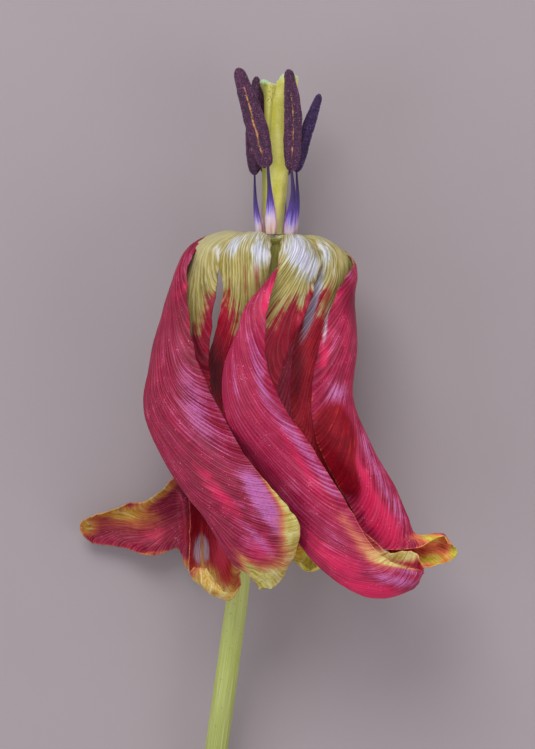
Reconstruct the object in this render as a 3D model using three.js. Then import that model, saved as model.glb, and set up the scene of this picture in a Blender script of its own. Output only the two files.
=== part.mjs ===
import * as THREE from 'three';

// One wilted cut tulip lying on its side. Millimetres, +Z up, +Y from the cut end to the pistil.
// Lengths below are measured from the middle of the receptacle, which lies AXIS_HEIGHT up.

const AXIS_HEIGHT = 17.0;        // receptacle axis above the surface the flower lies on
const TEPAL_THICKNESS = 0.8;     // middle of a tepal
const MARGIN_THICKNESS = 0.4;    // free edge of a tepal
const TEPAL_STEPS = 26;          // mesh rows from base to tip
const TEPAL_COLUMNS = 11;        // mesh columns from margin to margin

const STEM_RADIUS_TOP = 1.9;
const STEM_RADIUS_LOW = 2.3;
const STEM_END_Y = -150.0;       // where the scissors went through
const STEM_CUT_SLANT = 1.6;      // how far the cut leans along the stem
const RECEPTACLE_RADIUS = 2.9;
const RECEPTACLE_TOP_Y = 0.8;

const PISTIL_BASE_Y = 1.15;
const STYLE_LOBING = 0.06;       // three-sided ovary
const STIGMA_LOBING = 0.22;      // three-lobed stigma
const PISTIL_TURN = -0.1;        // which way the first lobe points

const FILAMENT_DEPTH = 0.42;     // half thickness at the foot
const ANTHER_WIDTH = 1.75;       // half width
const ANTHER_DEPTH = 1.35;       // half thickness

// Each tepal is a row of ribs from base to tip. A rib runs from one margin to the other,
// with the face that was inside the open flower on its left-hand side.
const LEFT_TEPAL = [
  [[-3.1, 0.1, -1.6], [-3.5, 0.3, -0.9], [-3.7, 0.4, -0.1], [-3.6, 0.4, 0.8], [-3.2, 0.2, 1.6]],
  [[-8.2, 1.4, -4.0], [-8.7, 1.8, -2.4], [-8.8, 1.8, -0.4], [-8.3, 1.2, 2.0], [-7.2, 0.2, 4.0]],
  [[-13.6, 0.9, -3.4], [-15.0, 0.2, -2.8], [-15.2, -0.5, -0.6],
    [-13.2, -1.0, 3.0], [-10.2, -3.2, 5.4]],
  [[-16.6, -3.8, 4.2], [-18.6, -3.8, 2.4], [-18.2, -4.6, 0.2],
    [-15.0, -5.4, 4.0], [-11.2, -7.6, 6.4]],
  [[-17.4, -11.0, 9.0], [-20.4, -10.8, 7.2], [-21.0, -10.8, 3.2],
    [-17.0, -11.4, 6.0], [-12.0, -12.4, 7.2]],
  [[-15.6, -23.0, 13.4], [-20.4, -24.0, 13.2], [-24.6, -24.6, 7.0],
    [-19.2, -24.6, 6.4], [-13.0, -23.6, 7.2]],
  [[-11.6, -32.4, 16.2], [-18.4, -34.0, 18.0], [-25.0, -35.4, 11.4],
    [-19.4, -34.6, 8.0], [-12.4, -31.8, 7.4]],
  [[-5.4, -43.1, 20.2], [-11.6, -44.9, 22.2], [-18.9, -47.7, 16.0],
    [-14.2, -45.6, 11.0], [-9.6, -42.6, 9.4]],
  [[0.0, -49.8, 22.0], [-6.2, -51.8, 23.4], [-13.4, -54.8, 17.8],
    [-9.8, -52.2, 12.6], [-6.0, -49.6, 11.0]],
  [[4.5, -55.6, 21.2], [-1.6, -58.6, 22.4], [-9.2, -62.0, 17.6],
    [-5.6, -59.4, 13.4], [-2.0, -56.6, 11.8]],
  [[4.2, -61.0, 18.4], [0.4, -63.2, 19.2], [-5.2, -65.8, 15.6],
    [-2.6, -64.0, 12.6], [0.2, -62.0, 11.8]],
  [[0.6, -68.0, 12.4], [-0.8, -68.8, 12.8], [-2.8, -68.8, 12.8],
    [-1.6, -68.2, 12.0], [0.0, -67.6, 11.8]],
];

const FRONT_LEFT_TEPAL = [
  [[-2.9, 0.2, 2.6], [-2.4, 0.3, 3.0], [-1.9, 0.4, 3.3], [-1.3, 0.3, 3.4], [-0.8, 0.1, 3.3]],
  [[-7.0, 0.7, 5.8], [-5.8, 1.1, 7.2], [-4.2, 1.1, 8.2], [-2.6, 0.6, 8.6], [-0.9, -0.6, 8.0]],
  [[-10.8, -3.4, 8.8], [-8.6, -2.4, 11.4], [-6.0, -2.2, 13.0],
    [-3.4, -2.6, 13.4], [-1.0, -4.0, 12.6]],
  [[-10.2, -8.8, 11.0], [-8.4, -8.6, 13.0], [-6.0, -8.6, 13.8],
    [-3.6, -8.8, 13.6], [-1.6, -9.0, 12.4]],
  [[-11.2, -16.0, 8.0], [-9.0, -16.0, 10.0], [-6.6, -16.0, 11.0],
    [-4.4, -16.0, 10.8], [-2.6, -16.0, 9.8]],
  [[-14.2, -27.0, 1.8], [-11.6, -27.0, 4.2], [-9.4, -27.0, 5.6],
    [-7.2, -27.0, 6.2], [-5.2, -27.0, 5.8]],
  [[-16.2, -40.0, 0.2], [-14.0, -40.0, 2.2], [-12.0, -40.0, 3.2],
    [-10.0, -40.0, 3.4], [-8.0, -40.0, 2.8]],
  [[-17.0, -52.0, 5.0], [-15.2, -52.0, 3.8], [-13.2, -52.0, 3.2],
    [-11.0, -52.0, 3.6], [-9.2, -52.0, 5.0]],
  [[-17.2, -60.0, 8.0], [-16.0, -60.0, 5.2], [-13.4, -60.0, 3.6],
    [-10.2, -60.5, 4.2], [-7.6, -60.0, 8.0]],
  [[-16.8, -65.4, 9.4], [-15.8, -67.4, 6.4], [-12.4, -69.4, 4.8],
    [-9.0, -69.8, 5.2], [-6.8, -66.5, 8.6]],
  [[-16.0, -65.0, 11.6], [-15.2, -67.0, 10.8], [-12.6, -69.6, 10.0],
    [-9.4, -71.0, 9.6], [-7.2, -69.0, 10.2]],
  [[-15.0, -64.8, 11.2], [-13.6, -65.0, 11.8], [-12.0, -66.6, 12.0],
    [-10.6, -68.6, 11.8], [-9.4, -69.8, 11.2]],
];

const FRONT_RIGHT_TEPAL = [
  [[0.9, 0.1, 3.2], [1.4, 0.3, 3.4], [1.9, 0.4, 3.3], [2.4, 0.3, 3.0], [2.9, 0.2, 2.6]],
  [[1.4, -0.6, 7.6], [2.6, 0.3, 8.4], [4.0, 0.5, 8.2], [5.6, 0.2, 7.0], [6.8, -0.5, 5.6]],
  [[0.9, -4.4, 13.0], [2.4, -3.4, 12.8], [4.6, -2.8, 12.8], [7.0, -2.9, 10.8], [8.6, -4.0, 8.4]],
  [[-0.1, -9.0, 16.8], [-1.9, -9.0, 15.8], [0.6, -9.2, 14.6], [5.0, -8.8, 14.0], [8.2, -8.6, 11.0]],
  [[-1.6, -15.0, 18.2], [-6.0, -14.8, 17.4], [-4.4, -15.2, 14.4],
    [1.0, -15.2, 13.8], [5.6, -15.0, 11.4]],
  [[-1.9, -24.0, 19.6], [-6.4, -24.0, 20.8], [-9.6, -24.4, 16.8],
    [-4.5, -24.5, 13.6], [2.0, -24.5, 10.8]],
  [[1.7, -33.0, 20.0], [-3.8, -34.0, 22.0], [-9.3, -35.4, 17.2],
    [-5.0, -34.5, 13.4], [0.2, -33.0, 11.8]],
  [[7.6, -41.6, 19.4], [1.8, -43.4, 20.8], [-4.4, -45.2, 15.4],
    [0.2, -43.8, 12.4], [3.8, -42.0, 12.2]],
  [[13.6, -51.4, 19.2], [8.6, -53.6, 20.4], [2.6, -56.2, 14.4],
    [7.2, -54.4, 11.8], [10.4, -52.8, 12.2]],
  [[18.0, -59.0, 20.0], [13.4, -60.6, 21.6], [7.2, -62.8, 16.4],
    [12.4, -60.2, 13.4], [17.4, -57.8, 14.0]],
  [[20.8, -62.2, 20.4], [17.6, -65.2, 22.0], [13.8, -68.3, 17.6],
    [17.6, -65.0, 14.2], [21.8, -61.6, 14.6]],
  [[23.8, -64.0, 20.0], [22.6, -67.6, 21.8], [21.0, -70.2, 18.0],
    [22.6, -66.0, 14.8], [24.8, -61.5, 15.0]],
  [[26.8, -64.7, 18.8], [27.0, -66.8, 19.0], [26.8, -68.2, 17.4],
    [27.4, -65.4, 15.6], [27.4, -61.8, 15.6]],
  [[28.4, -64.7, 17.6], [28.7, -65.2, 17.5], [28.8, -65.4, 17.1],
    [28.9, -64.7, 16.7], [28.6, -63.8, 16.5]],
];

const RIGHT_TEPAL = [
  [[3.2, 0.3, 1.6], [3.5, 0.4, 1.0], [3.7, 0.4, 0.4],
    [3.8, 0.4, -0.3], [3.6, 0.3, -1.0], [3.3, 0.2, -1.7]],
  [[6.2, -0.8, 2.8], [7.8, 0.2, 2.4], [8.8, 0.7, 1.0],
    [9.0, 0.8, -0.8], [8.7, 0.7, -2.4], [8.0, 0.4, -4.0]],
  [[8.0, -4.4, 5.4], [10.8, -2.8, 5.2], [13.0, -2.2, 2.8],
    [14.2, -2.6, -0.4], [15.2, -3.6, 0.2], [15.0, -4.0, 2.0]],
  [[7.6, -8.8, 7.0], [11.2, -7.8, 8.2], [14.0, -6.8, 5.2],
    [15.9, -6.6, 1.8], [16.0, -7.2, 4.6], [14.0, -7.6, 8.2]],
  [[5.8, -14.6, 7.4], [9.6, -13.4, 9.0], [13.0, -12.6, 7.0],
    [15.6, -12.2, 5.2], [14.6, -12.6, 10.0], [11.3, -13.0, 11.8]],
  [[3.6, -22.0, 7.0], [7.0, -22.0, 8.6], [11.6, -22.0, 7.6],
    [16.0, -21.6, 7.6], [13.4, -21.8, 13.0], [8.6, -22.0, 13.8]],
  [[3.0, -32.5, 6.8], [6.6, -32.5, 7.8], [11.2, -32.0, 7.4],
    [15.4, -31.6, 9.0], [12.4, -32.0, 13.6], [7.0, -32.8, 14.2]],
  [[6.0, -42.0, 7.4], [9.8, -42.0, 7.6], [14.2, -41.5, 7.2],
    [18.7, -41.0, 9.6], [14.6, -41.4, 14.0], [9.2, -42.6, 13.4]],
  [[11.6, -51.5, 7.6], [15.2, -51.0, 6.6], [19.6, -50.5, 6.8],
    [23.8, -49.6, 9.8], [19.6, -50.8, 12.8], [14.4, -52.4, 11.2]],
  [[18.0, -59.0, 7.6], [20.6, -58.6, 6.4], [23.8, -57.6, 6.6],
    [26.8, -56.8, 9.0], [23.6, -58.6, 11.6], [19.2, -60.4, 10.6]],
  [[28.2, -64.9, 10.6], [28.6, -63.6, 7.6], [28.6, -61.4, 6.6],
    [28.4, -58.7, 8.0], [28.2, -59.4, 10.8], [27.2, -61.2, 11.6]],
  [[32.4, -64.3, 10.0], [32.4, -63.2, 7.6], [32.6, -61.2, 6.8],
    [32.8, -58.9, 7.8], [32.8, -58.4, 9.4], [32.6, -59.0, 10.4]],
  [[35.0, -63.6, 9.8], [35.6, -63.0, 8.6], [36.0, -62.2, 8.2],
    [35.6, -61.0, 8.6], [35.0, -60.4, 9.4], [34.6, -60.6, 10.0]],
];

const BACK_RIGHT_TEPAL = [
  [[2.9, 0.2, -2.6], [2.4, 0.3, -3.0], [1.9, 0.4, -3.3], [1.4, 0.3, -3.4], [0.8, 0.1, -3.3]],
  [[6.6, 0.0, -5.6], [5.8, 0.6, -6.8], [4.4, 0.8, -8.0], [2.8, 0.5, -8.4], [1.4, -0.5, -8.0]],
  [[9.8, -4.8, -9.8], [8.4, -3.6, -12.4], [6.2, -3.4, -14.0],
    [3.8, -3.8, -14.2], [1.6, -5.0, -13.2]],
  [[13.0, -15.0, -11.5], [11.0, -15.0, -14.6], [8.0, -15.0, -16.0],
    [5.0, -15.0, -16.0], [2.2, -15.0, -14.4]],
  [[14.0, -28.0, -12.0], [11.5, -28.0, -15.2], [8.0, -28.0, -16.3],
    [4.0, -28.0, -16.1], [0.0, -28.0, -14.0]],
  [[15.0, -42.0, -12.0], [12.5, -42.0, -15.0], [9.0, -42.0, -16.2],
    [5.0, -42.0, -16.0], [1.0, -42.0, -13.5]],
  [[14.0, -54.0, -11.5], [12.0, -54.5, -14.5], [9.0, -55.0, -15.6],
    [5.5, -55.0, -15.0], [2.5, -55.0, -12.6]],
  [[13.0, -61.0, -10.5], [11.0, -62.0, -13.0], [8.5, -62.5, -13.8],
    [6.0, -62.0, -13.0], [4.2, -61.0, -11.0]],
  [[10.5, -65.4, -9.5], [9.0, -66.3, -11.0], [7.2, -66.7, -11.6],
    [5.6, -66.0, -11.0], [3.9, -64.2, -9.6]],
  [[9.0, -65.0, -7.5], [8.0, -66.0, -7.6], [6.8, -66.4, -7.7],
    [5.8, -65.6, -7.6], [4.8, -64.4, -7.6]],
];

const BACK_LEFT_TEPAL = [
  [[-0.8, 0.1, -3.3], [-1.4, 0.3, -3.4], [-1.9, 0.4, -3.3], [-2.4, 0.3, -3.0], [-2.9, 0.2, -2.6]],
  [[-1.2, -0.4, -8.0], [-2.8, 0.6, -8.4], [-4.4, 0.9, -8.0], [-5.8, 0.7, -6.8], [-6.6, 0.1, -5.6]],
  [[-1.4, -5.0, -13.4], [-3.4, -4.0, -14.4], [-5.8, -3.6, -14.4],
    [-8.0, -3.8, -12.8], [-9.4, -4.8, -10.0]],
  [[-1.5, -14.0, -14.6], [-3.6, -14.0, -16.0], [-6.2, -14.0, -16.2],
    [-8.6, -14.0, -14.8], [-10.0, -14.0, -11.4]],
  [[-3.5, -25.0, -14.6], [-6.5, -25.0, -16.1], [-9.8, -25.0, -16.3],
    [-12.4, -24.5, -14.8], [-13.6, -24.0, -11.4]],
  [[-7.0, -39.0, -15.2], [-11.0, -38.0, -16.2], [-15.0, -36.5, -16.0],
    [-18.4, -35.0, -14.0], [-20.2, -34.0, -10.5]],
  [[-11.0, -50.0, -14.0], [-14.0, -48.5, -15.0], [-17.0, -46.0, -14.4],
    [-19.2, -43.5, -12.0], [-20.3, -42.0, -9.0]],
  [[-16.6, -62.6, -11.0], [-16.4, -57.0, -12.0], [-16.8, -52.0, -12.9],
    [-18.2, -48.0, -12.2], [-19.9, -45.0, -9.6]],
  [[-18.0, -66.2, -8.8], [-17.9, -60.0, -9.2], [-18.2, -54.6, -10.0],
    [-19.2, -50.0, -9.8], [-20.3, -46.4, -8.4]],
  [[-19.5, -62.4, -10.8], [-19.7, -59.0, -11.8], [-19.9, -55.5, -12.2],
    [-20.6, -51.4, -10.6], [-21.0, -48.2, -7.6]],
  [[-25.0, -63.8, -10.5], [-25.5, -61.0, -12.5], [-26.0, -58.0, -12.5],
    [-26.0, -55.0, -10.5], [-25.5, -52.6, -7.5]],
  [[-31.0, -62.2, -12.5], [-31.6, -60.0, -14.0], [-32.0, -57.5, -14.0],
    [-31.6, -55.0, -12.0], [-30.0, -52.9, -9.0]],
  [[-36.0, -61.6, -13.5], [-36.6, -60.0, -14.8], [-37.0, -58.2, -14.6],
    [-36.6, -56.4, -13.0], [-35.5, -55.1, -10.5]],
  [[-38.4, -60.6, -13.0], [-39.3, -59.3, -13.4], [-39.7, -58.0, -13.2],
    [-39.4, -56.8, -12.5], [-38.6, -55.9, -11.5]],
];

// Smooth curve through the control points; t runs from 0 to points.length - 1.
function throughPoints(points, t) {
  const last = points.length - 1;
  const ahead = (a, b) => a.map((v, k) => 2 * v - b[k]);
  const at = (i) => (i < 0 ? ahead(points[0], points[1])
    : i > last ? ahead(points[last], points[last - 1]) : points[i]);
  const i = Math.min(Math.max(Math.floor(t), 0), last - 1);
  const f = t - i;
  const [a, b, c, d] = [at(i - 1), at(i), at(i + 1), at(i + 2)];
  return b.map((v, k) => 0.5 * (2 * v + (c[k] - a[k]) * f
    + (2 * a[k] - 5 * v + 4 * c[k] - d[k]) * f * f
    + (3 * v - a[k] - 3 * c[k] + d[k]) * f * f * f));
}

function meshOf(name, points, triangles, material) {
  const geometry = new THREE.BufferGeometry();
  geometry.setAttribute('position', new THREE.Float32BufferAttribute(points.flat(), 3));
  geometry.setIndex(triangles.flat());
  geometry.computeVertexNormals();
  const mesh = new THREE.Mesh(geometry, material);
  mesh.name = name;
  return mesh;
}

// A closed leaf: the lofted surface moved half its thickness to either side, rims joined.
function tepal(name, ribs, material) {
  const rows = TEPAL_STEPS, cols = TEPAL_COLUMNS;
  const surface = (u, v) => throughPoints(
    ribs.map((rib) => throughPoints(rib, v * (rib.length - 1))), u * (ribs.length - 1));
  const points = [];
  const index = (i, j, side) => (i * cols + j) * 2 + side;
  for (let i = 0; i < rows; i += 1) {
    for (let j = 0; j < cols; j += 1) {
      const u = i / (rows - 1), v = j / (cols - 1);
      const e = 1e-3;
      const along = new THREE.Vector3(...surface(Math.min(u + e, 1), v))
        .sub(new THREE.Vector3(...surface(Math.max(u - e, 0), v)));
      const across = new THREE.Vector3(...surface(u, Math.min(v + e, 1)))
        .sub(new THREE.Vector3(...surface(u, Math.max(v - e, 0))));
      const normal = along.cross(across).normalize();
      const bulge = Math.sqrt(Math.sin(Math.PI * Math.min(Math.max(v, 0), 1)) + 1e-9);
      const half = 0.5 * (MARGIN_THICKNESS + (TEPAL_THICKNESS - MARGIN_THICKNESS) * bulge);
      const middle = new THREE.Vector3(...surface(u, v));
      points.push(middle.clone().addScaledVector(normal, half).toArray());
      points.push(middle.clone().addScaledVector(normal, -half).toArray());
    }
  }
  const triangles = [];
  const quad = (a, b, c, d) => triangles.push([a, b, c], [a, c, d]);
  for (let i = 0; i + 1 < rows; i += 1) {
    for (let j = 0; j + 1 < cols; j += 1) {
      quad(index(i, j, 0), index(i + 1, j, 0), index(i + 1, j + 1, 0), index(i, j + 1, 0));
      quad(index(i, j, 1), index(i, j + 1, 1), index(i + 1, j + 1, 1), index(i + 1, j, 1));
    }
    quad(index(i, 0, 0), index(i, 0, 1), index(i + 1, 0, 1), index(i + 1, 0, 0));
    const k = cols - 1;
    quad(index(i, k, 0), index(i + 1, k, 0), index(i + 1, k, 1), index(i, k, 1));
  }
  for (let j = 0; j + 1 < cols; j += 1) {
    const k = rows - 1;
    quad(index(0, j, 0), index(0, j + 1, 0), index(0, j + 1, 1), index(0, j, 1));
    quad(index(k, j, 0), index(k, j, 1), index(k, j + 1, 1), index(k, j + 1, 0));
  }
  return meshOf(name, points, triangles, material);
}

// A closed stalk: one ring of points per station, a point at either end.
function stalk(name, stations, sides, material) {
  const points = [], triangles = [];
  stations.forEach(({ centre, wide, deep, facing, lobing = 0, turn = 0, tilt = 0 }, s) => {
    const before = stations[Math.max(s - 1, 0)].centre;
    const after = stations[Math.min(s + 1, stations.length - 1)].centre;
    const along = new THREE.Vector3(...after).sub(new THREE.Vector3(...before)).normalize();
    const out = new THREE.Vector3(...facing).addScaledVector(
      along, -along.dot(new THREE.Vector3(...facing))).normalize();
    const side = new THREE.Vector3().crossVectors(out, along).normalize();
    for (let k = 0; k < sides; k += 1) {
      const angle = (2 * Math.PI * k) / sides;
      const swell = 1 + lobing * Math.cos(3 * (angle - turn));
      points.push(new THREE.Vector3(...centre)
        .addScaledVector(side, wide * swell * Math.cos(angle))
        .addScaledVector(out, deep * swell * Math.sin(angle))
        .addScaledVector(along, tilt * Math.sin(angle)).toArray());
    }
  });
  const first = points.length, last = first + 1, rings = stations.length;
  points.push(stations[0].centre, stations[rings - 1].end ?? stations[rings - 1].centre);
  for (let k = 0; k < sides; k += 1) {
    const n = (k + 1) % sides;
    for (let s = 0; s + 1 < rings; s += 1) {
      const a = s * sides;
      triangles.push([a + k, a + n, a + sides + n], [a + k, a + sides + n, a + sides + k]);
    }
    const top = (rings - 1) * sides;
    triangles.push([first, n, k], [last, top + k, top + n]);
  }
  return meshOf(name, points, triangles, material);
}

function colour(hex, roughness) {
  return new THREE.MeshStandardMaterial({ color: hex, roughness, side: THREE.FrontSide });
}

const flower = new THREE.Group();

// Stem and receptacle, grown as one piece: from the flared top down to the slanting cut.
const STEM_PATH = [
  [0.2, -1.6, 0.0], [-0.2, -8.0, -0.4], [-1.4, -22.0, -1.4], [-3.6, -40.0, -3.2],
  [-6.2, -60.0, -5.4], [-7.5, -71.2, -6.8], [-9.5, -86.0, -8.6], [-11.5, -100.0, -10.4],
  [-13.8, -118.0, -12.4], [-16.2, -135.0, -13.9], [-18.4, STEM_END_Y, STEM_RADIUS_LOW - AXIS_HEIGHT],
];
const stemStations = [
  { centre: [0.2, RECEPTACLE_TOP_Y, 0], wide: 2.2, deep: 2.2 },
  { centre: [0.2, RECEPTACLE_TOP_Y - 0.5, 0], wide: RECEPTACLE_RADIUS, deep: RECEPTACLE_RADIUS },
  { centre: [0.2, -0.5, 0], wide: 2.75, deep: 2.75 },
];
STEM_PATH.forEach((centre, s) => {
  const r = STEM_RADIUS_TOP + (STEM_RADIUS_LOW - STEM_RADIUS_TOP) * Math.min(1, (2 * s) / 14);
  const last = s === STEM_PATH.length - 1;
  stemStations.push({ centre, wide: r, deep: r, tilt: last ? STEM_CUT_SLANT : 0 });
});
stemStations.forEach((station) => { station.facing = [0, 0, 1]; });
flower.add(stalk('stem', stemStations, 16, colour(0xa9b072, 0.6)));

flower.add(tepal('tepal_left', LEFT_TEPAL, colour(0xb02447, 0.55)));
flower.add(tepal('tepal_front_left', FRONT_LEFT_TEPAL, colour(0xa8563a, 0.55)));
flower.add(tepal('tepal_front_right', FRONT_RIGHT_TEPAL, colour(0xc53660, 0.55)));
flower.add(tepal('tepal_right', RIGHT_TEPAL, colour(0xcc3a5c, 0.55)));
flower.add(tepal('tepal_back_right', BACK_RIGHT_TEPAL, colour(0xb0503c, 0.55)));
flower.add(tepal('tepal_back_left', BACK_LEFT_TEPAL, colour(0xb23350, 0.55)));

// Pistil: ovary and stigma in one piece. Rows are height, centre x, half width, lobing.
const PISTIL_PROFILE = [
  [PISTIL_BASE_Y, 0.0, 1.5, 0.0], [2.6, -0.2, 1.8, 0.0], [5.0, -0.3, 2.15, STYLE_LOBING],
  [9.0, 0.0, 2.35, STYLE_LOBING], [14.0, 0.2, 2.6, STYLE_LOBING], [20.0, 0.3, 2.55, STYLE_LOBING],
  [25.0, 0.45, 2.4, STYLE_LOBING], [27.8, 0.75, 2.6, 0.1], [29.8, 1.1, 3.0, 0.16],
  [31.4, 1.3, 3.35, STIGMA_LOBING], [32.7, 1.4, 3.5, STIGMA_LOBING], [33.1, 1.4, 2.7, STIGMA_LOBING],
];
const pistilStations = PISTIL_PROFILE.map(([y, x, r, lobing]) => ({
  centre: [x, y, 0], wide: r, deep: r * 0.95, facing: [0, 0, 1], lobing, turn: PISTIL_TURN,
}));
pistilStations[pistilStations.length - 1].end = [1.4, 32.0, 0];
flower.add(stalk('pistil', pistilStations, 24, colour(0xb4b357, 0.5)));

// Stamens: filament foot, middle and top, then anther foot, middle and tip, the way its broad
// face looks, and half the width of its filament near the foot.
const STAMENS = [
  [[-0.8, 1.2, 3.5], [-1.0, 8.0, 3.7], [-1.4, 13.6, 4.6], [-1.7, 14.8, 5.0], [-4.2, 24.0, 5.6],
    [-7.4, 33.9, 6.0], [-0.3, 0.0, 1.0], 1.3],
  [[-3.2, 1.2, -0.9], [-3.9, 7.4, -1.2], [-4.0, 12.6, -1.6], [-4.1, 13.8, -1.8],
    [-4.4, 22.0, -2.2], [-3.7, 33.0, -3.0], [-0.5, 0.0, 0.85], 0.8],
  [[-1.9, 1.2, -2.9], [-2.0, 8.0, -3.6], [-2.0, 12.8, -4.6], [-2.1, 14.0, -5.0],
    [-2.2, 23.0, -5.8], [-2.6, 32.0, -6.4], [-0.4, 0.0, -1.0], 0.95],
  [[2.7, 1.2, 2.4], [3.6, 8.0, 3.0], [3.3, 12.9, 4.0], [3.2, 14.2, 4.3], [3.6, 24.0, 4.9],
    [2.7, 33.7, 5.4], [0.1, 0.0, 1.0], 1.15],
  [[3.7, 1.2, -0.7], [4.5, 8.0, -0.9], [4.2, 13.0, -1.2], [4.3, 14.3, -1.4], [6.1, 21.0, -1.4],
    [9.0, 29.3, -1.4], [0.6, 0.0, 0.8], 0.85],
  [[1.5, 1.2, -3.2], [1.7, 8.0, -3.8], [2.0, 12.2, -4.8], [2.1, 13.4, -5.2], [2.4, 22.0, -6.0],
    [3.0, 31.0, -6.6], [0.3, 0.0, -1.0], 0.95],
];
const FILAMENT_TAPER = [[0.0, 0.9], [0.12, 1.0], [0.35, 0.8], [0.6, 0.58], [0.85, 0.34], [1.0, 0.24]];
const ANTHER_SWELL = [
  [0.0, 0.4], [0.03, 0.72], [0.1, 0.92], [0.25, 1.0], [0.65, 1.0], [0.82, 0.93], [0.94, 0.72],
  [1.0, 0.34],
];
STAMENS.forEach(([foot, bend, top, low, middle, tip, facing, footWidth], s) => {
  const filament = FILAMENT_TAPER.map(([t, k]) => ({
    centre: throughPoints([foot, bend, top], 2 * t),
    wide: footWidth * k, deep: FILAMENT_DEPTH * Math.sqrt(k), facing,
  }));
  flower.add(stalk(`filament_${s + 1}`, filament, 8, colour(0x7d5aa6, 0.5)));
  const anther = ANTHER_SWELL.map(([t, k]) => ({
    centre: throughPoints([low, middle, tip], 2 * t),
    wide: ANTHER_WIDTH * k, deep: ANTHER_DEPTH * k, facing,
  }));
  flower.add(stalk(`anther_${s + 1}`, anther, 12, colour(0x35203f, 0.85)));
});

// Lowest point on the surface, middle of the outline over the origin.
const box = new THREE.Box3().setFromObject(flower);
const centre = box.getCenter(new THREE.Vector3());
flower.children.forEach((mesh) => mesh.geometry.translate(-centre.x, -centre.y, -box.min.z));

export default flower;
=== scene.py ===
import math

import bmesh
import bpy
import numpy as np
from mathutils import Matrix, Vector


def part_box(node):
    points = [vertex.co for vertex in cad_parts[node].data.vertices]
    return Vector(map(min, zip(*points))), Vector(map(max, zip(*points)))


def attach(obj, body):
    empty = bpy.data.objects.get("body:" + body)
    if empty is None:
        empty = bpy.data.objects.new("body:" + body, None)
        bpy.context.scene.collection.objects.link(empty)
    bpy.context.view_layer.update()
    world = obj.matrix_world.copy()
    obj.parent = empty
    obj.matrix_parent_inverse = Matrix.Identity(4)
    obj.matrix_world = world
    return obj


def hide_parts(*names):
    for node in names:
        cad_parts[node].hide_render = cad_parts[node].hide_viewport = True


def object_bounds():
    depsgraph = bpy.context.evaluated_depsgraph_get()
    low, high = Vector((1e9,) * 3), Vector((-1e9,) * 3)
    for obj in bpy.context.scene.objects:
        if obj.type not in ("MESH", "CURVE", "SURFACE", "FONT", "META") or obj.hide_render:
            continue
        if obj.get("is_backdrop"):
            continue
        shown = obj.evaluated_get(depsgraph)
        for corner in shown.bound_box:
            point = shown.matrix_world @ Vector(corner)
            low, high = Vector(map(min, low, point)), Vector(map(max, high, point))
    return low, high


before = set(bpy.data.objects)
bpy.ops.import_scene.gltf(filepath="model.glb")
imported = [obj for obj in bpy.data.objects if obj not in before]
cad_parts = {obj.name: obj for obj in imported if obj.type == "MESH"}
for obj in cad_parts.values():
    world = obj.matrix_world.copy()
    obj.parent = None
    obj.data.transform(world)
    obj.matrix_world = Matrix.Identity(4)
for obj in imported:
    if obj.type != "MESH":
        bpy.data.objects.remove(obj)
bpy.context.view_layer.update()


# ---------------------------------------------------------------- stem and receptacle
# A cut tulip stalk: one juicy green rod with a waxy skin that flares at its top into the
# receptacle, where tepals, stamens and pistil grow. It was cut on a slant with scissors,
# and the cut shows the pale pith with its scattered bundles.

MM = 0.001
STEM_RADIUS_TOP = 1.9
STEM_RADIUS_LOW = 2.3
STEM_THICKENS_OVER = 7           # points of its path, from the crown down
CROWN_RADIUS = 2.9               # the flared top
CROWN_TOP = 0.8
CROWN_MIDDLE = 0.2               # how far the crown sits to the right of the pistil's foot
CUT_SLANT = 1.6
CUT_RINGS = 10                   # how many rings the slant of the cut is spread over
CUT_HOLLOW = 0.45
PITH_CELL = 0.625
STEM_RIDGES = 9
STEM_RINGS = 260
STEM_SIDES = 56

# Lengths are in millimetres from the middle of the crown; FLOWER is that point in the frame.
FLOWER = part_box("stem")[1] - Vector((CROWN_MIDDLE + CROWN_RADIUS, CROWN_TOP, CROWN_RADIUS)) * MM

STEM_PATH = [
    (0.2, -1.6, 0.0), (-0.2, -8.0, -0.4), (-1.4, -22.0, -1.4), (-3.6, -40.0, -3.2),
    (-6.2, -60.0, -5.4), (-7.5, -71.2, -6.8), (-9.5, -86.0, -8.6), (-11.5, -100.0, -10.4),
    (-13.8, -118.0, -12.4), (-16.2, -135.0, -13.9), (-18.4, -150.0, -14.7),
]

# height and radius of the crown, up its side and in over the top
CROWN_PROFILE = [
    (-1.2, 1.95), (-0.9, 2.15), (-0.6, 2.5), (-0.3, 2.78), (0.0, 2.88), (0.3, CROWN_RADIUS), (0.55, 2.75),
    (0.72, 2.4), (CROWN_TOP, 1.9), (CROWN_TOP, 1.1), (CROWN_TOP, 0.4),
]


def through(points, t):
    """Smooth curve through control points (first axis); t runs from 0 to len(points) - 1."""
    p = np.asarray(points, float)
    p = np.concatenate([2 * p[:1] - p[1:2], p, 2 * p[-1:] - p[-2:-1]])
    t = np.asarray(t, float)
    i = np.clip(np.floor(t).astype(int), 0, len(p) - 4)
    f = (t - i).reshape((-1,) + (1,) * (p.ndim - 1))
    a, b, c, d = p[i], p[i + 1], p[i + 2], p[i + 3]
    return 0.5 * (2 * b + (c - a) * f + (2 * a - 5 * b + 4 * c - d) * f ** 2
                  + (3 * b - a - 3 * c + d) * f ** 3)


def swell(x, y, seed):
    """Smooth random heights from -1 to 1, one bump to a unit of x and y."""
    table = np.random.default_rng(seed).random((97, 97)) * 2 - 1
    ix, iy = np.floor(x).astype(int), np.floor(y).astype(int)
    fx, fy = x - ix, y - iy
    fx, fy = fx * fx * (3 - 2 * fx), fy * fy * (3 - 2 * fy)
    near = table[ix % 97, iy % 97] * (1 - fx) + table[(ix + 1) % 97, iy % 97] * fx
    far = table[ix % 97, (iy + 1) % 97] * (1 - fx) + table[(ix + 1) % 97, (iy + 1) % 97] * fx
    return near * (1 - fy) + far * fy


def unit(vectors):
    """The same directions, each one long."""
    return vectors / np.maximum(np.linalg.norm(vectors, axis=-1, keepdims=True), 1e-9)


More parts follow.
